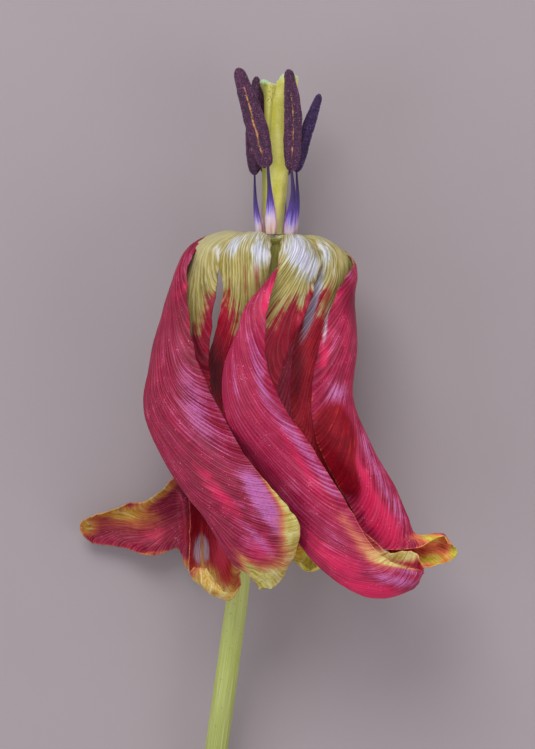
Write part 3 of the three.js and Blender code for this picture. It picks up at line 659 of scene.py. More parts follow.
front_left_marks = {
    "rose": [(1.1, -10.3, -62.0, 5.5, 1.8, -12)],
    "yellow": [(1.2, -14.6, -61.6, 3.4, 0.25, 2), (1.6, -14.0, -67.4, 2.8, 2.8, 60),
               (0.9, -7.4, -64.0, 6.0, 1.2, -6), (1.2, -10.5, -70.4, 3.6, 1.8, 90),
               (0.2, -17.0, -61.5, 4.5, 0.8, 0)],
    "red": [(0.66, -5.8, -8.0, 6.5, 0.6, 2), (0.6, -3.6, -8.0, 4.5, 0.7, 2)],
    # the darkening patches are painted shade
    "painted_shade": [(0.9, -11.5, -27.0, 11.0, 2.6, 5), (0.8, -13.0, -50.0, 6.0, 4.0, 0)],
    "white": [(0.8, -8.0, -1.6, 2.6, 1.4, -35), (0.9, -3.0, -2.6, 3.4, 2.0, 4),
              (2.4, -14.7, -62.0, 2.8, 1.4, 2)],
}
grow_tepal("front_left", FRONT_LEFT_RIBS, 200, [0.28, 0.33, 0.385, 0.35, 0.30], 0.08, front_left_marks,
           ("820e30", "b41a44"), ("8e1026", "c01a36"), "b066a4", "c85e4c", ("b88436", "dcc06c"))


# ---------------------------------------------------------------- front right tepal
# The showiest blade. Below its white-streaked green dome the left margin rolls right over,
# making one long boat that swings down to the right and ends in a rounded toe.

FRONT_RIGHT_RIBS = [
    [(0.9, 0.1, 3.2), (1.4, 0.3, 3.4), (1.9, 0.4, 3.3), (2.4, 0.3, 3.0), (2.9, 0.2, 2.6)],
    [(1.4, -0.6, 7.6), (2.6, 0.3, 8.4), (4.0, 0.5, 8.2), (5.6, 0.2, 7.0), (6.8, -0.5, 5.6)],
    [(0.9, -4.4, 13.0), (2.4, -3.4, 12.8), (4.6, -2.8, 12.8), (7.0, -2.9, 10.8), (8.6, -4.0, 8.4)],
    [(-0.1, -9.0, 16.8), (-1.9, -9.0, 15.8), (0.6, -9.2, 14.6), (5.0, -8.8, 14.0), (8.2, -8.6, 11.0)],
    [(-1.6, -15.0, 18.2), (-6.0, -14.8, 17.4), (-4.4, -15.2, 14.4),
     (1.0, -15.2, 13.8), (5.6, -15.0, 11.4)],
    [(-1.9, -24.0, 19.6), (-6.4, -24.0, 20.8), (-9.6, -24.4, 16.8),
     (-4.5, -24.5, 13.6), (2.0, -24.5, 10.8)],
    [(1.7, -33.0, 20.0), (-3.8, -34.0, 22.0), (-9.3, -35.4, 17.2),
     (-5.0, -34.5, 13.4), (0.2, -33.0, 11.8)],
    [(7.6, -41.6, 19.4), (1.8, -43.4, 20.8), (-4.4, -45.2, 15.4),
     (0.2, -43.8, 12.4), (3.8, -42.0, 12.2)],
    [(13.6, -51.4, 19.2), (8.6, -53.6, 20.4), (2.6, -56.2, 14.4),
     (7.2, -54.4, 11.8), (10.4, -52.8, 12.2)],
    [(18.0, -59.0, 20.0), (13.4, -60.6, 21.6), (7.2, -62.8, 16.4),
     (12.4, -60.2, 13.4), (17.4, -57.8, 14.0)],
    [(20.8, -62.2, 20.4), (17.6, -65.2, 22.0), (13.8, -68.3, 17.6),
     (17.6, -65.0, 14.2), (21.8, -61.6, 14.6)],
    [(23.8, -64.0, 20.0), (22.6, -67.6, 21.8), (21.0, -70.2, 18.0),
     (22.6, -66.0, 14.8), (24.8, -61.5, 15.0)],
    [(26.8, -64.7, 18.8), (27.0, -66.8, 19.0), (26.8, -68.2, 17.4),
     (27.4, -65.4, 15.6), (27.4, -61.8, 15.6)],
    [(28.4, -64.7, 17.6), (28.7, -65.2, 17.5), (28.8, -65.4, 17.1),
     (28.9, -64.7, 16.7), (28.6, -63.8, 16.5)],
]

front_right_marks = {
    # bloom patches: waxy bloom, with painted sheen laid in
    "bloom_and_sheen": [(0.7, -3.4, -25.0, 8.0, 1.2, 12), (0.6, 1.6, -36.0, 8.0, 1.4, 32),
              (0.6, 9.6, -47.0, 8.0, 1.2, 34), (0.85, 23.2, -66.8, 5.5, 1.1, 78),
              (0.8, 25.6, -65.2, 3.0, 0.6, 80), (0.4, 11.0, -58.0, 7.0, 1.8, 44),
              (0.4, -7.4, -30.0, 7.0, 0.5, 6)],
    "rose": [(1.0, -1.2, -12.0, 5.0, 1.4, -22), (0.6, 5.0, -44.0, 12.0, 1.2, 33),
             (1.4, 18.0, -69.6, 9.0, 2.2, 84), (0.7, 9.5, -61.5, 7.0, 2.0, 42),
             (0.6, 15.0, -64.0, 5.0, 2.0, 50)],
    "yellow": [(0.35, 14.6, -56.6, 6.0, 1.5, 36), (0.5, 18.8, -61.6, 4.6, 1.5, 52),
               (0.6, 24.0, -64.2, 4.6, 0.4, 76), (1.2, 24.6, -62.4, 4.2, 1.2, 88)],
    "red": [(0.6, 3.5, -19.0, 4.0, 2.6, -40)],
    # the darkening patches are painted shade
    "painted_shade": [(0.3, -8.6, -30.0, 8.0, 0.8, 6), (0.3, -1.0, -47.5, 8.0, 1.2, 35),
             (0.5, 1.5, -26.0, 6.0, 2.4, 0)],
    "white": [(1.2, 4.6, -3.2, 4.2, 2.4, 18), (0.5, 7.6, -5.5, 4.0, 1.0, -12),
              (0.9, 24.0, -62.6, 3.0, 1.0, 88)],
}
grow_tepal("front_right", FRONT_RIGHT_RIBS, 300, [0.20, 0.26, 0.335, 0.285, 0.235], 0.12, front_right_marks,
           ("90103a", "ae1a4a"), ("860e24", "b81638"), "c070b8", "d47a60", ("b8a03c", "e0d68c"))


# ---------------------------------------------------------------- right tepal
# Folded the other way: its far margin comes forward over the red inner face, with a pale
# wavy edge, a patch of plain dark scarlet, and a small curled spoon at the tip.

RIGHT_RIBS = [
    [(3.2, 0.3, 1.6), (3.5, 0.4, 1.0), (3.7, 0.4, 0.4),
     (3.8, 0.4, -0.3), (3.6, 0.3, -1.0), (3.3, 0.2, -1.7)],
    [(6.2, -0.8, 2.8), (7.8, 0.2, 2.4), (8.8, 0.7, 1.0),
     (9.0, 0.8, -0.8), (8.7, 0.7, -2.4), (8.0, 0.4, -4.0)],
    [(8.0, -4.4, 5.4), (10.8, -2.8, 5.2), (13.0, -2.2, 2.8),
     (14.2, -2.6, -0.4), (15.2, -3.6, 0.2), (15.0, -4.0, 2.0)],
    [(7.6, -8.8, 7.0), (11.2, -7.8, 8.2), (14.0, -6.8, 5.2),
     (15.9, -6.6, 1.8), (16.0, -7.2, 4.6), (14.0, -7.6, 8.2)],
    [(5.8, -14.6, 7.4), (9.6, -13.4, 9.0), (13.0, -12.6, 7.0),
     (15.6, -12.2, 5.2), (14.6, -12.6, 10.0), (11.3, -13.0, 11.8)],
    [(3.6, -22.0, 7.0), (7.0, -22.0, 8.6), (11.6, -22.0, 7.6),
     (16.0, -21.6, 7.6), (13.4, -21.8, 13.0), (8.6, -22.0, 13.8)],
    [(3.0, -32.5, 6.8), (6.6, -32.5, 7.8), (11.2, -32.0, 7.4),
     (15.4, -31.6, 9.0), (12.4, -32.0, 13.6), (7.0, -32.8, 14.2)],
    [(6.0, -42.0, 7.4), (9.8, -42.0, 7.6), (14.2, -41.5, 7.2),
     (18.7, -41.0, 9.6), (14.6, -41.4, 14.0), (9.2, -42.6, 13.4)],
    [(11.6, -51.5, 7.6), (15.2, -51.0, 6.6), (19.6, -50.5, 6.8),
     (23.8, -49.6, 9.8), (19.6, -50.8, 12.8), (14.4, -52.4, 11.2)],
    [(18.0, -59.0, 7.6), (20.6, -58.6, 6.4), (23.8, -57.6, 6.6),
     (26.8, -56.8, 9.0), (23.6, -58.6, 11.6), (19.2, -60.4, 10.6)],
    [(28.2, -64.9, 10.6), (28.6, -63.6, 7.6), (28.6, -61.4, 6.6),
     (28.4, -58.7, 8.0), (28.2, -59.4, 10.8), (27.2, -61.2, 11.6)],
    [(32.4, -64.3, 10.0), (32.4, -63.2, 7.6), (32.6, -61.2, 6.8),
     (32.8, -58.9, 7.8), (32.8, -58.4, 9.4), (32.6, -59.0, 10.4)],
    [(35.0, -63.6, 9.8), (35.6, -63.0, 8.6), (36.0, -62.2, 8.2),
     (35.6, -61.0, 8.6), (35.0, -60.4, 9.4), (34.6, -60.6, 10.0)],
]

right_marks = {
    # bloom patches: waxy bloom, with painted sheen laid in
    "bloom_and_sheen": [(0.9, 14.4, -5.8, 2.4, 1.0, 0), (0.3, 11.8, -22.0, 8.0, 1.6, -5),
              (0.7, 11.6, -30.5, 2.4, 2.4, 0), (0.5, 18.2, -42.0, 8.0, 1.0, 24),
              (0.5, 23.0, -52.0, 7.0, 1.2, 30)],
    "rose": [(0.6, 14.0, -22.0, 6.0, 1.0, 0), (0.9, 9.6, -24.0, 5.0, 1.4, -4),
             (0.9, 17.0, -47.0, 6.0, 1.4, 22), (1.4, 20.5, -55.0, 6.5, 2.6, 30)],
    "yellow": [(0.9, 30.6, -59.2, 3.6, 0.9, 86), (1.2, 30.5, -63.6, 4.4, 1.1, 95),
               (1.3, 35.8, -61.8, 2.8, 1.2, 0), (0.45, 31.4, -61.2, 4.0, 1.6, 90)],
    "red": [(0.7, 10.4, -11.2, 4.0, 0.9, -14), (2.0, 11.6, -39.0, 5.5, 3.6, 8),
            (1.8, 13.6, -46.5, 5.0, 2.2, 26)],
    # the darkening patches are painted shade
    "painted_shade": [(0.8, 4.4, -27.0, 9.0, 2.0, -4), (0.65, 15.2, -13.0, 6.5, 1.3, 2),
             (0.6, 14.9, -39.0, 4.0, 0.5, 4), (0.5, 13.6, -12.5, 4.0, 1.0, -8)],
    "white": [(0.55, 10.0, -2.6, 4.4, 1.4, 20), (1.5, 7.3, -13.8, 6.5, 1.0, -17),
              (0.9, 9.8, -18.4, 4.0, 0.5, -8)],
}
grow_tepal("right", RIGHT_RIBS, 400, [0.28, 0.32, 0.40, 0.30, 0.16], 0.17, right_marks,
           ("840c34", "b8184a"), ("8c1022", "c0283a"), "c67cbc", "ee8254", ("b8a628", "e0d658"))


# ---------------------------------------------------------------- back left tepal
# One of the two blades the flower lies on. It hangs flat along the surface, then twists, so
# that its tip stands out to the left like a pointed slipper with a golden upper edge.

BACK_LEFT_RIBS = [
    [(-0.8, 0.1, -3.3), (-1.4, 0.3, -3.4), (-1.9, 0.4, -3.3), (-2.4, 0.3, -3.0), (-2.9, 0.2, -2.6)],
    [(-1.2, -0.4, -8.0), (-2.8, 0.6, -8.4), (-4.4, 0.9, -8.0), (-5.8, 0.7, -6.8), (-6.6, 0.1, -5.6)],
    [(-1.4, -5.0, -13.4), (-3.4, -4.0, -14.4), (-5.8, -3.6, -14.4),
     (-8.0, -3.8, -12.8), (-9.4, -4.8, -10.0)],
    [(-1.5, -14.0, -14.6), (-3.6, -14.0, -16.0), (-6.2, -14.0, -16.2),
     (-8.6, -14.0, -14.8), (-10.0, -14.0, -11.4)],
    [(-3.5, -25.0, -14.6), (-6.5, -25.0, -16.1), (-9.8, -25.0, -16.3),
     (-12.4, -24.5, -14.8), (-13.6, -24.0, -11.4)],
    [(-7.0, -39.0, -15.2), (-11.0, -38.0, -16.2), (-15.0, -36.5, -16.0),
     (-18.4, -35.0, -14.0), (-20.2, -34.0, -10.5)],
    [(-11.0, -50.0, -14.0), (-14.0, -48.5, -15.0), (-17.0, -46.0, -14.4),
     (-19.2, -43.5, -12.0), (-20.3, -42.0, -9.0)],
    [(-16.6, -62.6, -11.0), (-16.4, -57.0, -12.0), (-16.8, -52.0, -12.9),
     (-18.2, -48.0, -12.2), (-19.9, -45.0, -9.6)],
    [(-18.0, -66.2, -8.8), (-17.9, -60.0, -9.2), (-18.2, -54.6, -10.0),
     (-19.2, -50.0, -9.8), (-20.3, -46.4, -8.4)],
    [(-19.5, -62.4, -10.8), (-19.7, -59.0, -11.8), (-19.9, -55.5, -12.2),
     (-20.6, -51.4, -10.6), (-21.0, -48.2, -7.6)],
    [(-25.0, -63.8, -10.5), (-25.5, -61.0, -12.5), (-26.0, -58.0, -12.5),
     (-26.0, -55.0, -10.5), (-25.5, -52.6, -7.5)],
    [(-31.0, -62.2, -12.5), (-31.6, -60.0, -14.0), (-32.0, -57.5, -14.0),
     (-31.6, -55.0, -12.0), (-30.0, -52.9, -9.0)],
    [(-36.0, -61.6, -13.5), (-36.6, -60.0, -14.8), (-37.0, -58.2, -14.6),
     (-36.6, -56.4, -13.0), (-35.5, -55.1, -10.5)],
    [(-38.4, -60.6, -13.0), (-39.3, -59.3, -13.4), (-39.7, -58.0, -13.2),
     (-39.4, -56.8, -12.5), (-38.6, -55.9, -11.5)],
]

back_left_marks = {
    # bloom patch: waxy bloom, with painted sheen laid in
    "bloom_and_sheen": [(0.35, -30.0, -60.2, 6.0, 0.7, -86)],
    "rose": [(0.6, -24.5, -59.5, 5.0, 2.4, -84)],
    "yellow": [(1.0, -31.5, -54.8, 7.5, 1.6, -98), (0.9, -23.6, -51.0, 5.5, 1.2, -55),
               (0.3, -29.5, -58.0, 7.5, 2.2, -98), (1.0, -38.6, -57.6, 2.4, 2.2, -10),
               (0.5, -27.0, -63.4, 6.0, 0.3, -84), (0.8, -18.1, -65.6, 1.4, 0.8, 0)],
    "red": [(0.6, -18.0, -58.0, 7.0, 0.9, 3)],
    # the darkening patches are painted shade
    "painted_shade": [(0.5, -20.0, -55.0, 7.0, 0.5, 3), (0.4, -21.0, -61.0, 3.0, 1.0, 0)],
}
grow_tepal("back_left", BACK_LEFT_RIBS, 500, [0.22, 0.26, 0.30, 0.26, 0.22], 0.1, back_left_marks,
           ("6e0a26", "94123a"), ("781022", "a8182e"), "b0607c", "b8603c", ("a87a1e", "cfa244"))


# ---------------------------------------------------------------- back right tepal
# The other blade underneath, the plainest: a shallow trough from the crown to a yellow tip
# that turns up from the surface.

BACK_RIGHT_RIBS = [
    [(2.9, 0.2, -2.6), (2.4, 0.3, -3.0), (1.9, 0.4, -3.3), (1.4, 0.3, -3.4), (0.8, 0.1, -3.3)],
    [(6.6, 0.0, -5.6), (5.8, 0.6, -6.8), (4.4, 0.8, -8.0), (2.8, 0.5, -8.4), (1.4, -0.5, -8.0)],
    [(9.8, -4.8, -9.8), (8.4, -3.6, -12.4), (6.2, -3.4, -14.0), (3.8, -3.8, -14.2), (1.6, -5.0, -13.2)],
    [(13.0, -15.0, -11.5), (11.0, -15.0, -14.6), (8.0, -15.0, -16.0),
     (5.0, -15.0, -16.0), (2.2, -15.0, -14.4)],
    [(14.0, -28.0, -12.0), (11.5, -28.0, -15.2), (8.0, -28.0, -16.3),
     (4.0, -28.0, -16.1), (0.0, -28.0, -14.0)],
    [(15.0, -42.0, -12.0), (12.5, -42.0, -15.0), (9.0, -42.0, -16.2),
     (5.0, -42.0, -16.0), (1.0, -42.0, -13.5)],
    [(14.0, -54.0, -11.5), (12.0, -54.5, -14.5), (9.0, -55.0, -15.6),
     (5.5, -55.0, -15.0), (2.5, -55.0, -12.6)],
    [(13.0, -61.0, -10.5), (11.0, -62.0, -13.0), (8.5, -62.5, -13.8),
     (6.0, -62.0, -13.0), (4.2, -61.0, -11.0)],
    [(10.5, -65.4, -9.5), (9.0, -66.3, -11.0), (7.2, -66.7, -11.6),
     (5.6, -66.0, -11.0), (3.9, -64.2, -9.6)],
    [(9.0, -65.0, -7.5), (8.0, -66.0, -7.6), (6.8, -66.4, -7.7),
     (5.8, -65.6, -7.6), (4.8, -64.4, -7.6)],
]

back_right_marks = {
    # bloom patch: waxy bloom, with painted sheen laid in
    "bloom_and_sheen": [(0.5, 8.0, -50.0, 9.0, 2.0, 5)],
    "yellow": [(1.2, 6.6, -65.4, 4.0, 3.2, 60), (0.7, 9.5, -63.0, 3.0, 3.0, 0)],
}
grow_tepal("back_right", BACK_RIGHT_RIBS, 600, [0.22, 0.27, 0.30, 0.27, 0.22], 0.1, back_right_marks,
           ("800e2e", "b01a44"), ("781022", "a8182e"), "b066a4", "c88a34", ("b8a428", "dccc58"))


# ---------------------------------------------------------------- pistil
# The seed vessel: a smooth three-sided green column of three joined carpels, with a groove
# down each join, crowned by the stigma, three frilled lobes covered in tiny pale bumps.

PISTIL_RINGS = 240
PISTIL_SIDES = 144
PISTIL_DEPTH = 0.95              # of its width
CREST_RINGS = 70
STIGMA_FROM = 28                 # the height at which the column starts to flare and frill
STIGMA_OVER = 5                  # and how far further up it is all stigma
CARPELS = 3
CARPEL_TURN = -5.0               # degrees, where the first lobe points

# height, middle, radius, how deep the three sides are cut
PISTIL_PROFILE = [
    (1.1, 0.0, 1.5, 0.02), (2.6, -0.15, 1.8, 0.05), (5.0, -0.25, 2.15, 0.07),
    (9.0, 0.0, 2.35, 0.08), (14.0, 0.2, 2.6, 0.08), (20.0, 0.3, 2.55, 0.07), (25.0, 0.45, 2.45, 0.08),
    (27.8, 0.75, 2.65, 0.12), (29.8, 1.15, 3.05, 0.17), (31.2, 1.35, 3.4, 0.22), (32.0, 1.45, 3.55, 0.25),
]
STIGMA_CREST = [(32.4, 1.0), (32.75, 0.94), (32.8, 0.84), (32.5, 0.7), (31.9, 0.52), (31.3, 0.32),
                (31.0, 0.1)]     # height, share of the last radius, going in over the top


def pistil_material():
    material, tree, shader = surface("pistil_skin")
    clouds = speckle(tree, 3.0)
    fibres = speckle(tree, 0.9, 3.0, (1.0, 0.12, 1.0))
    skin = mix(tree, step(tree, clouds, 0.3, 0.7), "c8c248", "e0da76")
    skin = mix(tree, step(tree, fibres, 0.4, 0.7, 0.0, 0.3), skin, "e2dd96")
    skin = mix(tree, step(tree, reading(tree, "low"), 0.4, 1.0), skin, "d6d294")
    skin = mix(tree, sums(tree, "MULTIPLY", reading(tree, "groove"), 0.4), skin, "6d6a1c")
    skin = mix(tree, step(tree, reading(tree, "shaded"), 0.2, 0.9, 0.0, 0.85), skin, "7c7a1e")
    crest = reading(tree, "dusted")
    skin = mix(tree, step(tree, crest, 0.1, 0.9), skin, "b6dcb2")
    pits = speckle(tree, 0.35, 2.0)
    bruised = sums(tree, "MULTIPLY", step(tree, pits, 0.56, 0.66), reading(tree, "bruise"))
    skin = mix(tree, bruised, skin, "4a2a1c")
    tree.links.new(skin, shader.inputs["Base Color"])
    tree.links.new(step(tree, clouds, 0.2, 0.8, 0.38, 0.55), shader.inputs["Roughness"])
    translucent(shader, 0.25, 1.2, (0.9, 1.0, 0.3))
    relief(tree, shader, sums(tree, "ADD", fibres, speckle(tree, 0.5, 2.0)), 0.08, 0.6)
    return material


def pistil():
    rows = np.array(PISTIL_PROFILE)
    side = through(rows, np.linspace(0, len(rows) - 1, PISTIL_RINGS))
    height, middle, radius, cut = side.T
    crest = through(np.array(STIGMA_CREST), np.linspace(0, len(STIGMA_CREST) - 1, CREST_RINGS))
    last = rows[-1]
    height = np.concatenate([height, crest[:, 0]])
    radius = np.concatenate([radius, crest[:, 1] * last[2]])
    middle = np.concatenate([middle, np.full(CREST_RINGS, last[1])])
    cut = np.concatenate([cut, np.full(CREST_RINGS, last[3])])
    on_top = np.concatenate([np.zeros(PISTIL_RINGS), np.ones(CREST_RINGS)])[:, None]
    angle = np.linspace(0, 2 * np.pi, PISTIL_SIDES, endpoint=False)[None]
    twist = math.radians(CARPEL_TURN) - 0.2 * np.clip(1 - height[:, None] / 30, 0, 1)
    lobe = np.cos(CARPELS * (angle - twist))
    groove = np.exp(-((1 + lobe) / 0.10) ** 2)
    top = np.clip((height - STIGMA_FROM) / STIGMA_OVER, 0, 1)[:, None]
    frill = swell(angle * 5.5, height[:, None] * 0.9, 21) * 0.07 * top
    lumps = swell(angle * 2, height[:, None] / 3, 22) * 0.012
    scale = 1 + cut[:, None] * lobe - groove * (0.05 + 0.10 * top) + frill + lumps
    scale = scale - groove * 0.25 * on_top
    wide = radius[:, None] * scale
    centres = np.stack([middle, height, np.zeros(len(height))], axis=1)
    guide = centres.copy()
    guide[:, 1] = np.linspace(0, 30, len(guide))
    rings = hoops(guide, wide, wide * PISTIL_DEPTH, (0, 0, 1), PISTIL_SIDES)
    rings[..., 1] = height[:, None] + 0.75 * (lobe - 0.4) * top ** 2 - 0.5 * groove * on_top
    rings[..., 1] -= 1.3 * np.clip(np.cos(angle), 0, 1) * top ** 2
    rings[..., 1] += 0.15 * swell(angle * 7, on_top + angle * 0, 23) * top
    low = np.clip(1 - (height - 1) / 12, 0, 1)[:, None]
    dusted = np.clip((height - 31.5) / 1.6, 0, 1)[:, None] * (0.4 + 0.6 * (lobe + 1) / 2)
    x, y = rings[..., 0], rings[..., 1]
    bruise = np.exp(-((x + 1.0) / 0.9) ** 2 - ((y - 28.6) / 1.8) ** 2) + 0.12 * (y > 8)
    shaded = np.exp(-((x + 2.6) / 1.3) ** 2)
    readings = {"low": low, "groove": groove * (1 - 0.5 * on_top), "dusted": dusted,
                "bruise": bruise, "shaded": shaded}
    return sleeve("pistil_column", rings, readings, pistil_material())


def grain_tree():
    """Small round grains strewn over a surface, thickest where its dusted value is highest."""
    tree = bpy.data.node_groups.new("Grains on a surface", "GeometryNodeTree")
    given = (("Geometry", "NodeSocketGeometry"), ("Grain radius", "NodeSocketFloat"),
             ("Grains per square metre", "NodeSocketFloat"), ("Seed", "NodeSocketInt"),
             ("Grain material", "NodeSocketMaterial"))
    for name, kind in given:
        tree.interface.new_socket(name, in_out="INPUT", socket_type=kind)
    tree.interface.new_socket("Geometry", in_out="OUTPUT", socket_type="NodeSocketGeometry")
    ins = add(tree, "NodeGroupInput").outputs
    dusted = add(tree, "GeometryNodeInputNamedAttribute", {"data_type": "FLOAT"}, {"Name": "dusted"})
    density = sums(tree, "MULTIPLY", ins["Grains per square metre"], dusted.outputs["Attribute"])
    strewn = add(tree, "GeometryNodeDistributePointsOnFaces", {"distribute_method": "RANDOM"},
                 {"Mesh": ins["Geometry"], "Density": density, "Seed": ins["Seed"]})
    grain = add(tree, "GeometryNodeMeshIcoSphere", None,
                {"Radius": ins["Grain radius"], "Subdivisions": 1})
    size = add(tree, "FunctionNodeRandomValue", {"data_type": "FLOAT"},
               {2: 0.55, 3: 1.25, "Seed": ins["Seed"]})
    placed = add(tree, "GeometryNodeInstanceOnPoints", None, {
        "Points": strewn.outputs["Points"], "Instance": grain.outputs["Mesh"],
        "Rotation": strewn.outputs["Rotation"], "Scale": size.outputs[1]})
    real = add(tree, "GeometryNodeRealizeInstances", None, {"Geometry": placed.outputs[0]})
    done = add(tree, "GeometryNodeSetMaterial", None,
               {"Geometry": real.outputs[0], "Material": ins["Grain material"]})
    out = add(tree, "NodeGroupOutput")
    tree.links.new(done.outputs[0], out.inputs[0])
    return tree


GRAINS = grain_tree()


def strew(name, ground, radius_mm, per_mm2, seed, material):
    """The grains on one piece, as a plain mesh of their own."""
    carrier = bpy.data.objects.new(name + "_carrier", ground.data)
    bpy.context.scene.collection.objects.link(carrier)
    modifier = carrier.modifiers.new("grains", "NODES")
    modifier.node_group = GRAINS
    values = {"Grain radius": radius_mm * MM, "Grains per square metre": per_mm2 * 1e6, "Seed": seed,
              "Grain material": material}
    for item in GRAINS.interface.items_tree:
        if item.in_out == "INPUT" and item.name in values:
            modifier[item.identifier] = values[item.name]
    graph = bpy.context.evaluated_depsgraph_get()
    mesh = bpy.data.meshes.new_from_object(carrier.evaluated_get(graph), depsgraph=graph)
    bpy.data.objects.remove(carrier)
    mesh.name = name
    mesh.polygons.foreach_set("use_smooth", [True] * len(mesh.polygons))
    piece = bpy.data.objects.new(name, mesh)
    bpy.context.scene.collection.objects.link(piece)
    return piece


def bump_material():
    material, tree, shader = surface("stigma_bumps")
    tree.links.new(mix(tree, speckle(tree, 1.2), "a4cc9c", "dcecd0"),
                   shader.inputs["Base Color"])
    shader.inputs["Roughness"].default_value = 0.4
    translucent(shader, 0.2, 0.3)
    return material


column = pistil()
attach(column, "root")
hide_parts("pistil")
bumps = strew("stigma_bumps", column, 0.085, 38.0, 7, bump_material())
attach(bumps, "root")


# ---------------------------------------------------------------- stamens
# Six stamens ring the pistil. Each is a flat strap, the filament, white and pink at the foot
# and violet above, with an anther on its point: two long pollen sacs side by side that have
# split and turned themselves inside out, so they are furred all over with dark pollen.

FILAMENT_DEPTH = 0.42
FILAMENT_RINGS = 70
FILAMENT_SIDES = 32
ANTHER_DEPTH = 1.35
ANTHER_FURROW = 0.42             # how deep the two sacs are parted, in front and behind
ANTHER_RINGS = 120
ANTHER_SIDES = 96
POLLEN_RADIUS = 0.1
POLLEN_PER_MM2 = 27.0

# filament foot, bend, top; anther foot, middle, tip; the way its broad face looks; half the
# filament's width near its foot, half the anther's; how much of the orange seam between the
# sacs shows; how far down the filament its violet reaches
STAMENS = [
    ((-0.8, 1.0, 3.4), (-1.0, 8.0, 3.7), (-1.4, 14.4, 4.7),
     (-1.7, 14.6, 5.0), (-4.2, 24.0, 5.6), (-7.4, 33.9, 6.0), (-0.3, 0.0, 1.0), 1.2, 2.1, 1.0, 0.08),
    ((-3.1, 1.0, -0.9), (-3.9, 7.4, -1.2), (-4.1, 13.4, -1.7),
     (-4.1, 13.6, -1.8), (-4.4, 22.0, -2.2), (-3.7, 33.0, -3.0), (-0.5, 0.0, 0.85), 0.8, 1.55, 0.35, 0.18),
    ((-1.9, 1.0, -2.9), (-2.0, 8.0, -3.6), (-2.0, 13.6, -4.8),
     (-2.1, 14.0, -5.0), (-2.2, 23.0, -5.8), (-2.6, 32.0, -6.4), (-0.4, 0.0, -1.0), 0.95, 1.2, 0.5, 0.1),
    ((2.7, 1.0, 2.4), (3.6, 8.0, 3.0), (3.3, 13.7, 4.1),
     (3.2, 14.0, 4.3), (3.6, 24.0, 4.9), (2.7, 33.7, 5.4), (0.1, 0.0, 1.0), 1.15, 1.75, 0.7, 0.26),
    ((3.7, 1.0, -0.7), (4.5, 8.0, -0.9), (4.3, 13.8, -1.3),
     (4.3, 14.1, -1.4), (6.1, 21.0, -1.4), (9.0, 29.3, -1.4), (0.6, 0.0, 0.8), 0.85, 1.3, 0.3, 0.18),
    ((1.5, 1.0, -3.2), (1.7, 8.0, -3.8), (2.0, 13.0, -5.0),
     (2.1, 13.4, -5.2), (2.4, 22.0, -6.0), (3.0, 31.0, -6.6), (0.3, 0.0, -1.0), 0.95, 1.5, 0.5, 0.1),
]
FILAMENT_TAPER = [0.85, 1.0, 0.92, 0.75, 0.58, 0.44, 0.34, 0.27, 0.22]
ANTHER_SWELL = [0.6, 0.8, 0.92, 0.99, 1.0, 1.0, 0.97, 0.93, 0.86, 0.78, 0.69, 0.59, 0.46]


def filament_material():
    material, tree, shader = surface("filament_skin")
    along = reading(tree, "along")
    girth = reading(tree, "girth")
    place = add(tree, "ShaderNodeCombineXYZ", None,
                {"X": sums(tree, "MULTIPLY", girth, 11.0), "Y": sums(tree, "MULTIPLY", along, 3.0)})
    fibres = add(tree, "ShaderNodeTexNoise", None,
                 {"Vector": place.outputs[0], "Scale": 1.0, "Detail": 2.0}).outputs["Fac"]
    shifted = sums(tree, "MULTIPLY_ADD", sums(tree, "SUBTRACT", fibres, 0.5), 0.5, along)
    skin = mix(tree, step(tree, fibres, 0.42, 0.58), "cc9aa0", "dcd2b0")
    skin = mix(tree, step(tree, shifted, 0.14, 0.32, 0.0, 0.75), skin, "cdc2de")
    skin = mix(tree, step(tree, shifted, 0.3, 0.46), skin, "7f6cc8")
    skin = mix(tree, step(tree, shifted, 0.42, 0.58), skin, "42287e")
    skin = mix(tree, step(tree, shifted, 0.58, 0.85), skin, "2c1a4e")
    edge = mix(tree, step(tree, shifted, 0.3, 0.6), "d22a92", "7626c8")
    skin = mix(tree, sums(tree, "MULTIPLY", reading(tree, "brink"), 0.6), skin, edge)
    tree.links.new(skin, shader.inputs["Base Color"])
    tree.links.new(step(tree, fibres, 0.3, 0.7, 0.35, 0.55), shader.inputs["Roughness"])
    translucent(shader, 0.15, 0.5)
    relief(tree, shader, fibres, 0.08, 0.7)
    return material


def anther_material():
    material, tree, shader = surface("anther_sacs")
    seam = reading(tree, "seam")
    grit = speckle(tree, 0.3, 2.0)
    skin = mix(tree, step(tree, grit, 0.35, 0.65), "26142c", "4a2444")
    seamed = mix(tree, step(tree, grit, 0.3, 0.6), "8c4e3c", "d89c5c")
    skin = mix(tree, step(tree, seam, 0.25, 0.8), skin, seamed)
    tree.links.new(skin, shader.inputs["Base Color"])
    tree.links.new(step(tree, grit, 0.3, 0.7, 0.7, 0.95), shader.inputs["Roughness"])
    relief(tree, shader, grit, 0.12, 0.8)
    return material


def pollen_material(name, dull, lit, spark):
    material, tree, shader = surface(name)
    blotch = speckle(tree, 1.4, 2.0)
    single = speckle(tree, 0.2, 1.0)
    skin = mix(tree, step(tree, blotch, 0.35, 0.65), dull, lit)
    skin = mix(tree, step(tree, single, 0.56, 0.72, 0.0, 0.8), skin, spark)
    golden = sums(tree, "ADD", reading(tree, "gilded"), sums(tree, "SUBTRACT", single, 0.5))
    skin = mix(tree, step(tree, golden, 0.6, 1.05), skin, "d0985e")
    tree.links.new(skin, shader.inputs["Base Color"])
    tree.links.new(step(tree, single, 0.3, 0.7, 0.5, 0.85), shader.inputs["Roughness"])
    return material


